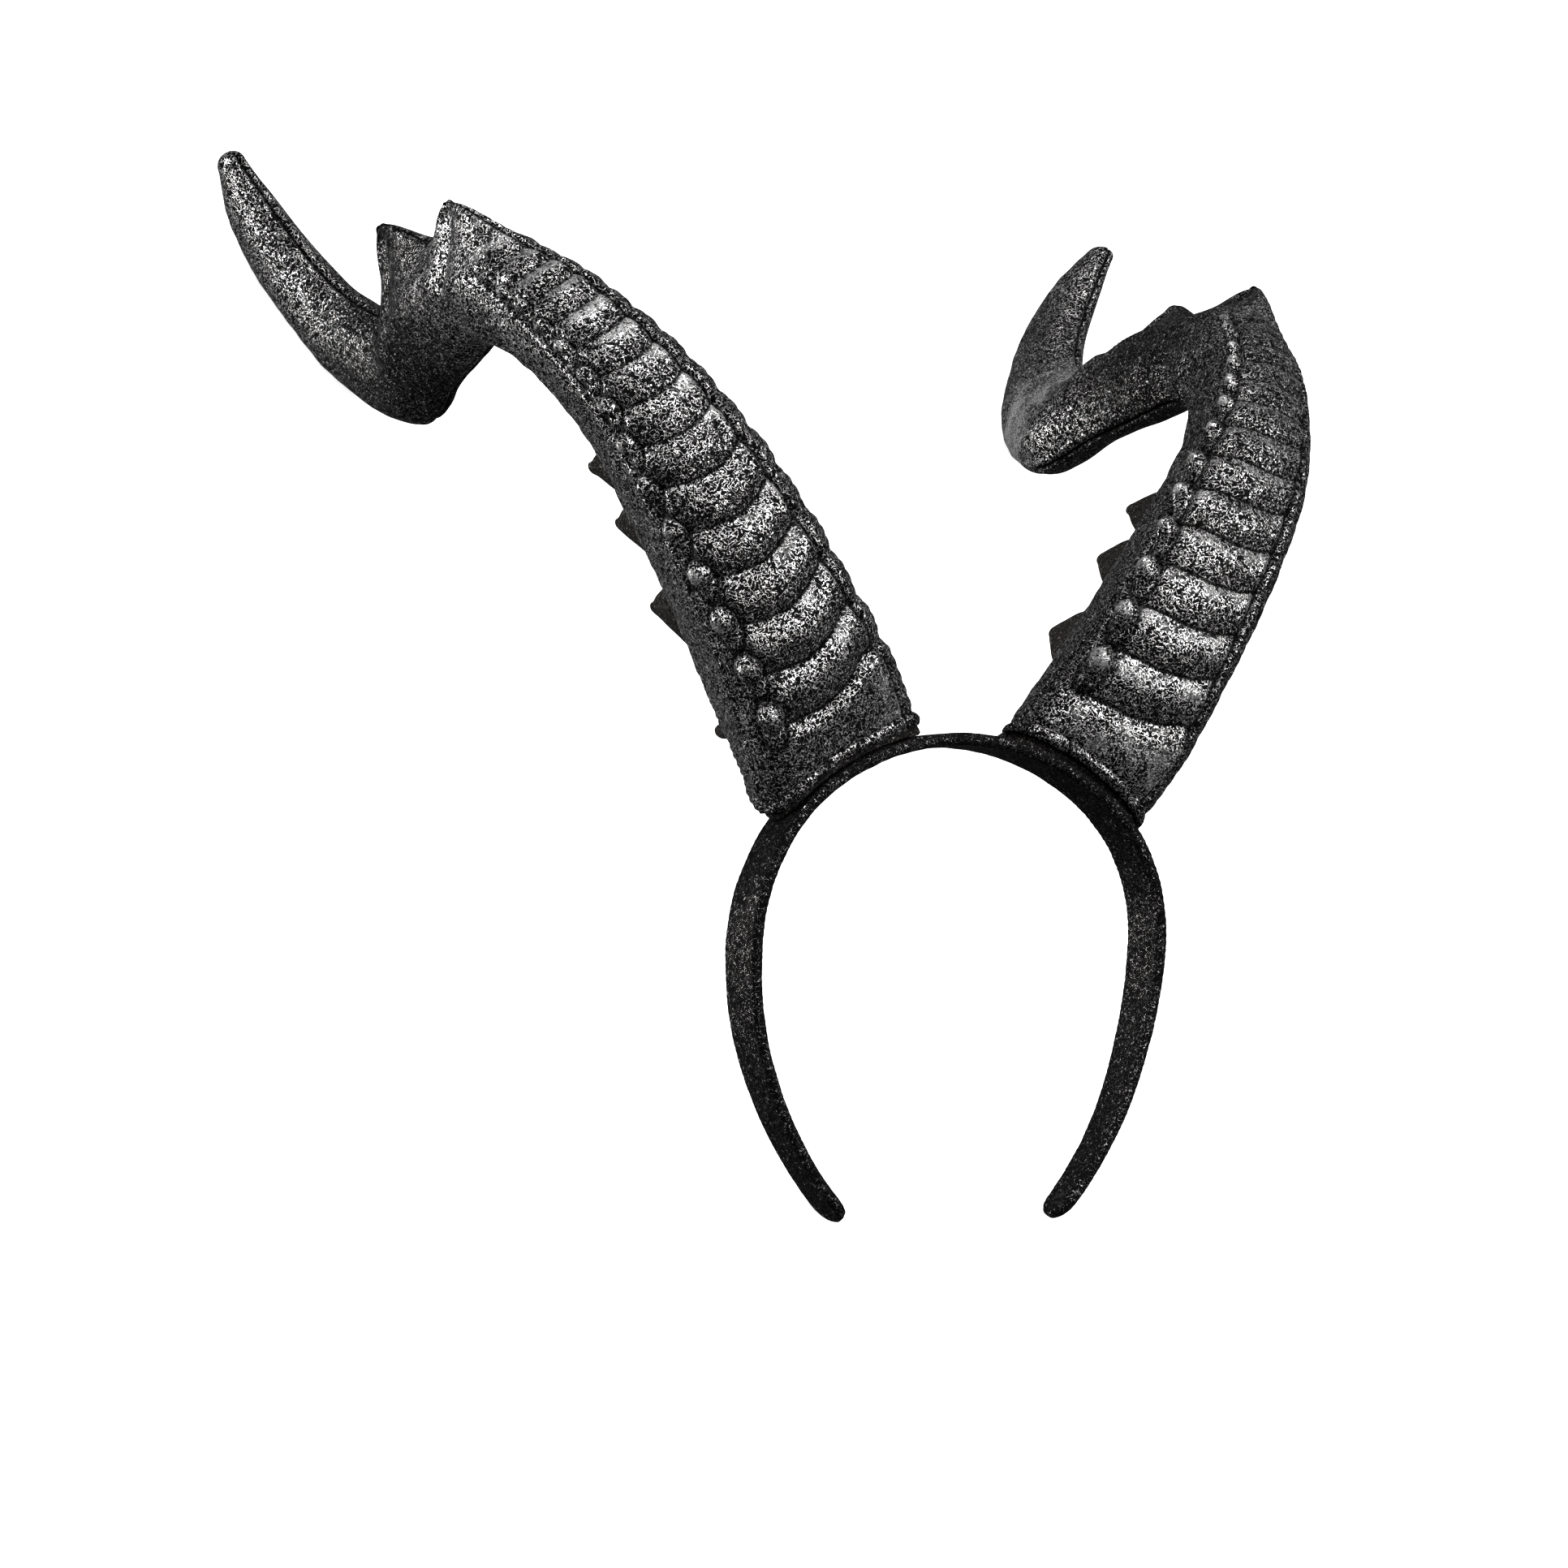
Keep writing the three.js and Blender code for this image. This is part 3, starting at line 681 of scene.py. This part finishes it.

# Foil on each horn's ribs and on its head, by place along the section table: partly the foil itself and
# partly painted light, more where the ribs, the right hook's jaw and the prongs catch the light and less
# where the heads turn from it
RIB_FOIL = {
    -1: [(0.0, 0.95), (4.0, 0.85), (6.0, 1.2), (8.0, 1.2)],
    1: [(0.0, 1.2), (2.0, 1.0), (5.0, 0.9), (8.0, 0.8)],
}
HEAD_FOIL = {
    -1: [(8.0, 1.0), (9.5, 0.8), (10.8, 0.2), (12.6, 0.28), (14.0, 0.75), (17.0, 0.9)],
    1: [(8.0, 0.24), (10.5, 0.2), (11.4, 0.7), (12.4, 1.45), (13.2, 0.8), (14.4, 0.5), (16.0, 0.8)],
}
MOST_FOIL = 1.45

# On a rib, the foil grows from groove to crest over a span of the rib, a painted highlight on its upper
# part; the plain cuff counts as a share of a crest, and the foil grows towards the right, where a painted
# highlight is added too
CREST_SPAN = (0.2, 0.8)
GROOVE_FOIL = 0.55
CREST_PAINTED_HIGHLIGHT = 0.65
CUFF_PAINTED_HIGHLIGHT = {-1: 0.6, 1: 0.65}
RIGHTWARD_PAINTED_HIGHLIGHT = {-1: 0.3, 1: 0.0}

# Foil on the sides of each horn, partly painted shade where the sides turn from the light; how much less
# foil lies at the hem; and the painted shade that thins the foil on the strip and on the head's far side
# under the hook
SIDE_FOIL = {-1: 0.85, 1: 0.55}
HEM_THINNING = {"at": 1.6, "width": 2.4, "share": 0.6}
STRIP_PAINTED_SHADE = 0.25
HEAD_BACK = (5.0, 6.5)
HEAD_BACK_PAINTED_SHADE = 0.7
HEM_SHADE = 0.7


def by_place(table, place):
    """A two-column table read at places along the section table."""
    rows = np.array(table)
    return np.interp(place, rows[:, 0], rows[:, 1])


def seam_distance(table, side, place, arcs, index):
    return arcs - arc_at(arcs, index, side * by_place(table, place))[:, None]


def rib_fields(side, grid, stations, half):
    """The ribs at each point: groove depth, groove line where shade is painted, strength, swell of the cuff
    and the foil crest where a highlight is painted.
    """
    bow = np.array(GROOVE_BOW[side])
    raised = np.interp(grid[:, :, 0] / half, bow[:, 0], bow[:, 1])
    raised = raised * (half / SECTIONS["half"][0]) ** BOW_POWER[side]
    starts = rib_starts()
    length = stations["length"][:, None] - raised
    rib, share = rib_phase(length)
    falling = np.where(share < RIB_CREST, (RIB_CREST - share) / RIB_CREST, 0.0) ** RIB_LOWER_POWER
    rising = np.where(share > RIB_CREST, (share - RIB_CREST) / (1.0 - RIB_CREST), 0.0) ** RIB_UPPER_POWER
    below = rib < 0
    upward = rib / (RIB_COUNT - 1)
    pitch = np.where(below, RIB_FIRST, lerp(RIB_PITCH_LOW, RIB_PITCH_HIGH, upward))
    to_line = np.minimum(np.where(below, 1.0, share), 1.0 - share) * pitch
    fade = np.where(below, 1.0, lerp(1.0, RIB_END_STRENGTH, upward))
    fade = fade * (1.0 - smoothstep(length, starts[-2], starts[-1]))
    return {
        "groove": np.where(below, smoothstep(share, *CUFF_EDGE) ** CUFF_EDGE_POWER, falling + rising),
        "line": bell(to_line, GROOVE_LINE_WIDTH) * np.sqrt(fade),
        "fade": fade,
        "cuff": np.where(below, np.sin(math.pi * share), 0.0),
        "crest": np.where(below, CUFF_PAINTED_HIGHLIGHT[side], smoothstep(share, *CREST_SPAN)),
    }


def horn_mesh(side):
    """One horn's surface as a grid, with how much foil each point carries and the shade painted into the
    folds it lies in.
    """
    stations = horn_stations()
    index = outline_index()
    grid = horn_base_grid(stations, index, side)
    normals = grid_normals(grid)
    arcs = arc_positions(grid)
    place = stations["place"]
    up_front = stations["length"][:, None]
    half = np.interp(place, np.arange(LAST_ROW + 1), SECTIONS["half"])[:, None]
    signed = np.broadcast_to(index[None, :], arcs.shape)
    right_seam = seam_distance(RIGHT_SEAM, 1, place, arcs, index)
    left_seam = seam_distance(LEFT_SEAM, -1, place, arcs, index)
    rear_seam = np.abs(arcs) - np.abs(arcs).max(axis=1, keepdims=True)
    head = smoothstep(place, *HEAD_ROWS)[:, None]
    # ribs: full on the front panel, weaker on the strip beside it and fading over the sides
    ribs = rib_fields(side, grid, stations, half)
    thorn_row = by_place(THORN_ROW[side], place)[:, None]
    beyond_seam = smoothstep(right_seam, *PANEL_RIGHT_EDGE)
    panel = smoothstep(signed + thorn_row, *PANEL_LEFT_EDGE) * (1.0 - beyond_seam)
    strip = beyond_seam * (1.0 - smoothstep(signed, *STRIP_END))
    push = -RIB_DEPTH[side] * ribs["groove"] * ribs["fade"] * (panel + STRIP_RIBS[side] * strip)
    panel_width = arcs.min(axis=1, keepdims=True) * PANEL_SPAN
    across = np.clip((right_seam + PANEL_INSET) / panel_width, 0.0, 1.0)
    push = push + PANEL_BULGE * np.sin(math.pi * across) * ribs["fade"] * panel
    push = push + CUFF_BULGE[side] * ribs["cuff"] * panel
    # seams: a sharp valley with a soft roll on each side of it, and painted shade along the valley
    seams = (
        (right_seam, SEAM_DEPTH["right"]),
        (left_seam, SEAM_DEPTH["left"] * (1.0 - head)),
        (rear_seam, SEAM_DEPTH["rear"] + SEAM_DEPTH["rear_on_head"] * head),
    )
    # painted shade along the rib grooves, full on the panel and fainter on the strip
    painted_shade = ribs["line"] * np.maximum(panel, STRIP_SHADE * strip)
    for distance, depth in seams:
        valley = bell(distance, SEAM_WIDTH)
        roll = bell(np.abs(distance) - SEAM_ROLL["at"], SEAM_ROLL["width"])
        push = push - depth * valley + SEAM_ROLL["height"] * depth * roll
        painted_shade = np.maximum(painted_shade, np.minimum(1.0, SEAM_SHADE * depth) * valley)
    # a pinched fold around each thorn, with painted shade in it
    thorn_line = seam_distance(THORN_ROW[side], -1, place, arcs, index)
    for middle, size in thorn_places():
        lengthways = (up_front - middle) / (size["length"] / 2.0)
        sideways = thorn_line / (size["width"] / 2.0)
        fold = bell(np.hypot(lengthways, sideways) - THORN_FOLD["at"], THORN_FOLD["width"])
        push = push - THORN_FOLD["depth"] * fold
        painted_shade = np.maximum(painted_shade, THORN_FOLD["shade"] * fold)
    # slack cloth
    seed = CLOTH_SEED + side
    swell = field(grid, SWELL["size"], seed)
    pulls = field(grid * np.array(PULL["squeeze"]), PULL["size"], seed + PULL_SEED)
    sides = smoothstep(np.abs(signed), *SIDES_SPAN) * (1.0 - PULL["on_head"] * head)
    slant = (up_front + PLEAT["slant"] * np.abs(arcs)) / PLEAT["pitch"]
    pleats = np.sin(2.0 * math.pi * slant + PLEAT["wander"] * swell)
    slack = np.maximum(sides, strip) * (1.0 - head)
    push = push + SWELL["height"] * swell + PULL["height"] * sides * pulls + PLEAT["height"] * slack * pleats
    # hem, with painted shade in the line above the lip
    hem_line = bell(up_front - HEM_LINE["at"], HEM_LINE["width"])
    push = push + HEM_LIP["height"] * bell(up_front - HEM_LIP["at"], HEM_LIP["width"])
    push = push - HEM_LINE["depth"] * hem_line
    painted_shade = np.maximum(painted_shade, HEM_SHADE * hem_line)
    # foil: more on the crests and the prongs, a painted highlight; less on the sides, the strip and under
    # the hook, a painted shade; and less at the hem
    # painted highlight: more foil on the crests and towards the right
    ribbed = by_place(RIB_FOIL[side], place)[:, None] * (GROOVE_FOIL + CREST_PAINTED_HIGHLIGHT * ribs["crest"])
    ribbed = ribbed * (1.0 + RIGHTWARD_PAINTED_HIGHLIGHT[side] * np.clip(grid[:, :, 0] / half, -1.0, 1.0))
    cover = lerp(SIDE_FOIL[side], ribbed, panel)
    # partly painted light: more foil on the right hook's jaw and the prongs, less on the heads
    cover = lerp(cover, by_place(HEAD_FOIL[side], place)[:, None], head)
    cover = cover * (1.0 - HEM_THINNING["share"] * bell(up_front - HEM_THINNING["at"], HEM_THINNING["width"]))
    # painted shade: less foil on the strip
    cover = cover * (1.0 - STRIP_PAINTED_SHADE * strip * (1.0 - head))
    # painted shade: less foil on the head's far side under the hook
    cover = cover * (1.0 - HEAD_BACK_PAINTED_SHADE * head * smoothstep(signed, *HEAD_BACK))
    return grid + normals * push[:, :, None], normals, np.minimum(cover, MOST_FOIL), painted_shade


def thorn_places():
    """Distance up the front, and size, of the thorn at each groove."""
    starts = [RIB_FIRST - RIB_PITCH_LOW] + rib_starts()
    rows = []
    for number in range(RIB_COUNT):
        pitch = starts[number + 1] - starts[number]
        strength = lerp(1.0, THORN_END_STRENGTH, number / (RIB_COUNT - 1))
        size = {key: value * pitch * strength for key, value in THORN_SIZE.items()}
        rows.append((lerp(starts[number], starts[number + 1], THORN_PLACE), size))
    return rows


def thorn_shells(points, normals, side):
    """A pinched thorn for each groove along the left front edge: steep above, drawn out below."""
    stations = horn_stations()
    index = outline_index()
    thorn_row = by_place(THORN_ROW[side], stations["place"])
    turns = np.linspace(0.0, 2.0 * math.pi, THORN_AROUND, endpoint=False)
    sine, cosine = np.sin(turns), np.cos(turns)
    ridge_high = np.sign(sine) * np.abs(sine) ** THORN_RIDGE
    ridge_wide = np.sign(cosine) * np.abs(cosine) ** THORN_RIDGE
    shells = []
    for length, size in thorn_places():
        ring = int(np.argmin(np.abs(stations["length"] - length)))
        column = int(np.argmin(np.abs(index + thorn_row[ring])))
        spot = points[ring, column]
        out = normals[ring, column]
        along = points[ring + 3, column] - points[ring - 3, column]
        along = along - out * np.dot(along, out)
        along = along / np.linalg.norm(along)
        beside = np.cross(along, out)
        rings = []
        bright = []
        for step in range(1, THORN_RINGS):
            share = step / THORN_RINGS
            reach = (share - 0.5) * size["length"]
            fat = math.sin(math.pi * share ** THORN_SKEW) ** THORN_FULLNESS
            lift = size["height"] * THORN_LIFT * share ** 2
            wide = ridge_wide[:, None] * beside * (fat * size["width"] / 2.0)
            high = ridge_high[:, None] * out * (fat * size["height"])
            rings.append(spot + along * reach + out * (lift - THORN_SINK) + wide + high)
            # painted highlight: more foil on the thorn's upper crest
            highlight = bell(share - THORN_PAINTED_HIGHLIGHT_SPAN[0], THORN_PAINTED_HIGHLIGHT_SPAN[1])
            bright.append(THORN_FOIL + THORN_PAINTED_HIGHLIGHT[side] * np.maximum(sine, 0.0) * highlight)
        tip_lift = size["height"] * THORN_TIP["lift"] - THORN_TIP["sink"]
        ends = (
            spot - along * size["length"] / 2.0 - out * THORN_TAIL_SINK,
            spot + along * size["length"] * THORN_TIP["reach"] + out * tip_lift,
        )
        foil = np.append(np.array(bright).ravel(), (THORN_FOIL, THORN_TIP_FOIL))
        shells.append((np.array(rings), np.array(ends), foil))
    return shells


def build_horn(name, side):
    """A horn with its closed ends and its thorns, as one piece."""
    grid, normals, cover, painted_shade = horn_mesh(side)
    count = grid.shape[1]
    last = grid[-1]
    middle = last.mean(axis=0)
    way = middle - grid[-4].mean(axis=0)
    way /= np.linalg.norm(way)
    caps = []
    for step in range(1, PRONG_STEPS):
        turn = step / PRONG_STEPS * math.pi / 2.0
        caps.append(middle + (last - middle) * math.cos(turn) + way * PRONG_TIP_RISE * math.sin(turn))
    base_middle = grid[0].mean(axis=0)
    inside = np.array((0.0, 0.0, BASE_RISE))
    unders = [base_middle + (grid[0] - base_middle) * share + inside for share in BASE_INSETS]
    full = np.concatenate((np.array(unders), grid, np.array(caps)))
    under_cover = np.repeat(cover[:1], len(unders), axis=0)
    cover = np.concatenate((under_cover, cover, np.repeat(cover[-1:], len(caps), axis=0)))
    # painted shade on the base's underside
    painted_shade_under = np.full((len(unders), count), BASE_SHADE)
    painted_shade = np.concatenate((painted_shade_under, painted_shade, np.repeat(painted_shade[-1:], len(caps), axis=0)))
    ends = np.array((base_middle + inside, middle + way * PRONG_TIP_RISE))
    points = np.vstack((full.reshape(-1, 3), ends))
    faces = facing_out(points, grid_faces(len(full), count))
    foil = np.append(cover.ravel(), (BASE_FOIL, TIP_FOIL))
    # the groove attribute carries the painted shade
    groove = np.append(painted_shade.ravel(), (BASE_SHADE, 0.0))
    for rings, tips, bright in thorn_shells(grid, normals, side):
        shell = np.vstack((rings.reshape(-1, 3), tips))
        shell_faces = facing_out(shell - shell.mean(axis=0), grid_faces(len(rings), THORN_AROUND))
        first = len(points)
        faces = faces + [tuple(corner + first for corner in face) for face in shell_faces]
        points = np.vstack((points, shell))
        foil = np.append(foil, bright)
        groove = np.append(groove, np.zeros(len(shell)))
    points = transformed(points, LAY @ horn_matrix(side))
    return make_object(name, points, faces, HORN_FOIL, {"foil": foil, "groove": groove})


# Spikes


def ridge_at(up):
    """The point of the back ridge at a height."""
    places = np.linspace(0.0, LAST_ROW, RIDGE_SAMPLES)
    line = rail("rear", places)
    step = int(np.argmax(line[:, 1] >= up))
    return line[step]


def build_spike(name, row, side):
    """A stuffed fin: a short flat top edge and a long hollow lower edge."""
    spike = dict(zip(SPIKE_COLUMNS, row))
    hang = dict(zip(SPIKE_HANG_COLUMNS, SPIKE_HANG[side]))
    upper = ridge_at(spike["tip_up"] + spike["root"] * SPIKE_TOP_SHARE)
    lower = ridge_at(max(spike["tip_up"] - spike["root"] * (1.0 - SPIKE_TOP_SHARE), 1.0))
    tip = np.array((ridge_at(spike["tip_up"])[0] + spike["reach"], spike["tip_up"] - hang["droop"]))
    sink = np.array((-SPIKE_SINK, 0.0))
    way = (upper - lower) / np.linalg.norm(upper - lower)
    rings = []
    for step in range(SPIKE_RINGS):
        out = step / (SPIKE_RINGS - 1)
        swell = math.sin(math.pi * out)
        narrow = math.sqrt(max(1.0 - out ** SPIKE_BLUNT_POWER, SPIKE_BLUNT_LEAST))
        top = lerp(upper + sink, tip, out) + np.array((0.0, hang["top"])) * swell
        low = lerp(lower + sink, tip, out) + np.array((hang["low_back"], hang["low_up"])) * swell
        centre = (top + low) / 2.0
        reach = np.maximum(np.linalg.norm(top - low) / 2.0, SPIKE_TIP_REACH * narrow)
        thick = lerp(spike["half"] * SPIKE_ROOT_SHARE, SPIKE_TIP_HALF, out ** SPIKE_THINNING) * narrow
        ring = []
        for turn in np.linspace(0.0, 2.0 * math.pi, SPIKE_AROUND, endpoint=False):
            bulge = math.copysign(abs(math.sin(turn)) ** SPIKE_PUFF, math.sin(turn))
            spot = centre + way * reach * math.cos(turn)
            ring.append((thick * bulge + hang["lean"] * out, spot[0], spot[1]))
        rings.append(ring)
    grid = np.array(rings)
    seed = spike["tip_up"] * SPIKE_SWELL["seed"] + side
    slack = SPIKE_SWELL["height"] * field(grid, SPIKE_SWELL["size"], seed)
    grid = grid + grid_normals(grid) * slack[:, :, None]
    ends = np.array((grid[0].mean(axis=0), grid[-1].mean(axis=0) + np.array(SPIKE_TIP_NUDGE)))
    points = np.vstack((grid.reshape(-1, 3), ends))
    faces = facing_out(points, grid_faces(SPIKE_RINGS, SPIKE_AROUND))
    points = transformed(points, LAY @ horn_matrix(side))
    outward = np.repeat(np.linspace(0.0, 1.0, SPIKE_RINGS), SPIKE_AROUND)
    foil = lerp(*SPIKE_FOIL, outward)
    groove = SPIKE_ROOT_SHADE * (1.0 - smoothstep(outward, *SPIKE_ROOT_SPAN))
    shown = {"foil": np.append(foil, SPIKE_END_FOIL), "groove": np.append(groove, SPIKE_END_SHADE)}
    item = make_object(name, points, faces, SPIKE_FABRIC, shown)
    soft = item.modifiers.new("soft", "SUBSURF")
    soft.render_levels = 1
    soft.levels = 1
    return item


# Base pads


def build_pad(name, node):
    """The pad under a horn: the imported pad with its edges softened, as a sewn cushion is."""
    mesh = frame["nodes"][node].data.copy()
    mesh.name = name
    mesh.materials.clear()
    mesh.materials.append(SPIKE_FABRIC)
    item = bpy.data.objects.new(name, mesh)
    bpy.context.scene.collection.objects.link(item)
    remesh = item.modifiers.new("cells", "REMESH")
    remesh.mode = "VOXEL"
    remesh.voxel_size = PAD_VOXEL
    relax = item.modifiers.new("relax", "SMOOTH")
    relax.factor = PAD_RELAX
    relax.iterations = PAD_RELAX_STEPS
    graph = bpy.context.evaluated_depsgraph_get()
    finished = bpy.data.meshes.new_from_object(item.evaluated_get(graph))
    item.modifiers.clear()
    item.data = finished
    finished.polygons.foreach_set("use_smooth", [True] * len(finished.polygons))
    for key, value in PAD_SURFACE.items():
        layer = finished.attributes.new(key, "FLOAT", "POINT")
        layer.data.foreach_set("value", np.full(len(finished.vertices), value, np.float32))
    return item


# Band


def band_half():
    """Outer line of the right half: x, z, tangent angle, distance from the top and share of the width."""
    rows = []
    x = z = angle = length = 0.0
    for radius, until in BAND_ARCS:
        start = angle
        steps = round((until - start) / BAND_STEP_DEGREES)
        for step in range(1, steps + 1):
            turn = lerp(start, until, step / steps)
            x += radius * (math.sin(math.radians(turn)) - math.sin(math.radians(angle)))
            z -= radius * (math.cos(math.radians(angle)) - math.cos(math.radians(turn)))
            length += radius * math.radians(turn - angle)
            angle = turn
            rows.append((x, z, angle, length, 1.0))
    return rows


def band_section(width):
    """Points around the band's section as (across, out): crowned faces and rounded rims."""
    half = width / 2.0
    bottom = -BAND_THICKNESS
    middle = bottom / 2.0
    round_x = min(BAND_EDGE_ROUND, half * BAND_EDGE_MOST)
    flat = half - round_x
    section = []

    def add_edge(centre, start):
        for angle in np.linspace(start, start - 90.0, BAND_EDGE_SAMPLES + 2)[1:-1]:
            spot = math.radians(angle)
            section.append((centre + round_x * math.cos(spot), middle - middle * math.sin(spot)))

    for across in np.linspace(-flat, flat, BAND_FACE_SAMPLES):
        section.append((across, BAND_CROWN * (1.0 - (across / half) ** 2) - BAND_CROWN))
    add_edge(flat, 90.0)
    add_edge(flat, 0.0)
    for across in np.linspace(flat, -flat, BAND_FACE_SAMPLES):
        section.append((across, bottom))
    add_edge(-flat, 270.0)
    add_edge(-flat, 180.0)
    return np.array(section)


def build_band():
    """The band's sewn cover, from leg end to leg end, with a bumpy stitched rim along both edges."""
    right = band_half()
    total = right[-1][3]
    end = right[-1]
    way = (math.cos(math.radians(end[2])), -math.sin(math.radians(end[2])))
    for step in range(1, BAND_END_STEPS + 1):
        turn = step / BAND_END_STEPS * math.radians(BAND_END_TURN)
        reach = BAND_END_ROUND * math.sin(turn)
        spot = (end[0] + way[0] * reach, end[1] + way[1] * reach)
        right.append((*spot, end[2], total + reach, math.cos(turn)))
    left = [(-x, z, -angle, -length, narrow) for x, z, angle, length, narrow in reversed(right)]
    places = left + [(0.0, 0.0, 0.0, 0.0, 1.0)] + right
    rings = []
    for x, z, angle, length, narrow in places:
        taper = float(smoothstep(abs(length) / total, BAND_TAPER_START, 1.0))
        section = band_section(lerp(BAND_WIDTH_TOP, BAND_WIDTH_END, taper) * narrow)
        thin = narrow ** BAND_END_THINNING
        out = (section[:, 1] + BAND_THICKNESS / 2.0) * thin - BAND_THICKNESS / 2.0
        sin, cos = math.sin(math.radians(angle)), math.cos(math.radians(angle))
        back = BAND_SWEEP * smoothstep(-z, SWEEP_FROM, SWEEP_TO) - BAND_FORWARD
        rings.append(np.stack((x + sin * out, section[:, 0] + back, z + cos * out), axis=1))
    grid = np.array(rings)
    lengths = np.array([place[3] for place in places])[:, None]
    section = band_section(BAND_WIDTH_TOP)
    rim = smoothstep(np.abs(section[:, 0]), *RIM_SPAN)[None, :]
    phase = np.where(section[:, 0] > 0, 0.0, RIM_FRONT_PHASE)[None, :] * RIM_BUMP_PITCH
    bumps = np.abs(np.sin(math.pi * (lengths + phase) / RIM_BUMP_PITCH))
    normals = grid_normals(grid)
    swell = sum(height * field(grid, size, seed) for height, size, seed in BAND_SWELLS)
    push = RIM_BUMP_HEIGHT * rim * (bumps - RIM_BUMP_MIDDLE) + swell
    grid = grid + normals * push[:, :, None]
    rings_count, count = grid.shape[:2]
    ends = np.array((grid[0].mean(axis=0), grid[-1].mean(axis=0)))
    points = np.vstack((grid.reshape(-1, 3), ends))
    faces = facing_out(points, grid_faces(rings_count, count))
    # painted glint: extra foil on the crowns of the front rim's stitches
    front_rim = bell(section[:, 1] + BAND_THICKNESS / 2.0, STITCH_WIDTH) * (section[:, 0] < 0)
    foil = BAND_FOIL + STITCH_GLINT_FOIL * front_rim[None, :] * bumps ** STITCH_POWER
    # painted shade between the rim's bumps
    groove = RIM_PAINTED_SHADE * rim * (1.0 - bumps) ** RIM_PAINTED_SHADE_POWER
    end_foil = (BAND_FOIL, BAND_FOIL)
    shown = {"foil": np.append(foil.ravel(), end_foil), "groove": np.append(groove.ravel(), (0.0, 0.0))}
    return make_object("band_cover", transformed(points, LAY), faces, BAND_FABRIC, shown)


def settle(item, node):
    """Put a piece on the part in place of a node."""
    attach(item, "root")
    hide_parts(node)


settle(build_band(), "headband")
for horn_name, horn_side in (("left", -1), ("right", 1)):
    horn = build_horn(horn_name + "_horn_cover", horn_side)
    settle(horn, horn_name + "_horn")
    pad = build_pad(horn_name + "_base_pad", horn_name + "_base")
    settle(pad, horn_name + "_base")
    for number, spike_row in enumerate(SPIKES, 1):
        node_name = f"{horn_name}_spike_{number}"
        fin = build_spike(node_name + "_cover", spike_row, horn_side)
        settle(fin, node_name)


# Floor, light and camera


def build_floor():
    side = FLOOR_HALF
    points = [(-side, -side, 0.0), (side, -side, 0.0), (side, side, 0.0), (-side, side, 0.0)]
    floor = make_object("floor", points, [(0, 1, 2, 3)], floor_material())
    floor.visible_glossy = False
    floor.visible_diffuse = False
    floor.visible_shadow = False


def camera_axes():
    """Right, up and towards-the-camera directions in the row frame, for a camera aimed at the band's top."""
    yaw = math.radians(CAMERA_YAW)
    rise = math.radians(CAMERA_ELEVATION)
    towards = Vector((-math.sin(yaw) * math.cos(rise), -math.cos(yaw) * math.cos(rise), math.sin(rise)))
    right = Vector((math.cos(yaw), -math.sin(yaw), 0.0))
    up = towards.cross(right)
    turn = LAY.to_3x3().normalized()
    return turn @ right, turn @ up, turn @ towards


def build_camera():
    right, up, towards = camera_axes()
    aside = (IMAGE_SIDE / 2 - BAND_TOP_PX[0]) / CAMERA_FOCAL_PX
    below = (IMAGE_SIDE / 2 - BAND_TOP_PX[1]) / CAMERA_FOCAL_PX
    look = (-towards + right * aside - up * below).normalized()
    across = look.cross(up).normalized()
    top = across.cross(look)
    data = bpy.data.cameras.new("camera")
    data.sensor_fit = "HORIZONTAL"
    data.sensor_width = SENSOR_MM
    data.lens = CAMERA_FOCAL_PX / IMAGE_SIDE * SENSOR_MM
    data.clip_end = CAMERA_FAR
    camera = bpy.data.objects.new("camera", data)
    camera.matrix_world = Matrix((across, top, -look)).transposed().to_4x4()
    camera.location = LAY.translation + towards * CAMERA_DISTANCE
    bpy.context.scene.collection.objects.link(camera)
    bpy.context.scene.camera = camera


# Soft lamps: direction from the object as worn, distance, side and power
LAMP_COLUMNS = ("x", "y", "z", "distance", "side", "power")
LAMPS = [
    (0.49, -0.84, 0.22, 1.4, 0.8, 21.0),
    (-0.15, -0.42, 0.90, 1.4, 0.8, 18.0),
    (-0.93, 0.34, 0.06, 1.4, 0.6, 24.0),
    (-0.45, -0.88, 0.13, 1.4, 0.5, 4.0),
]
WORLD_LIGHT = 0.1

# Where the lamps are aimed: metres to the right of the band's top and above it, as the camera sees it
LAMP_AIM = (-0.06, 0.08)


def build_lights():
    right, up, _ = camera_axes()
    middle = LAY.translation + right * LAMP_AIM[0] + up * LAMP_AIM[1]
    turn = LAY.to_3x3().normalized()
    for number, row in enumerate(LAMPS, 1):
        lamp = dict(zip(LAMP_COLUMNS, row))
        way = (turn @ Vector((lamp["x"], lamp["y"], lamp["z"]))).normalized()
        data = bpy.data.lights.new(f"softbox_{number}", "AREA")
        data.shape = "SQUARE"
        data.size = lamp["side"]
        data.energy = lamp["power"]
        item = bpy.data.objects.new(f"softbox_{number}", data)
        item.location = middle + way * lamp["distance"]
        item.rotation_euler = way.to_track_quat("Z", "Y").to_euler()
        bpy.context.scene.collection.objects.link(item)
    world = bpy.data.worlds.new("studio")
    world.use_nodes = True
    back = world.node_tree.nodes["Background"]
    back.inputs["Color"].default_value = (1.0, 1.0, 1.0, 1.0)
    back.inputs["Strength"].default_value = WORLD_LIGHT
    bpy.context.scene.world = world
    bpy.context.scene.view_settings.view_transform = "Standard"


build_floor()
build_camera()
build_lights()
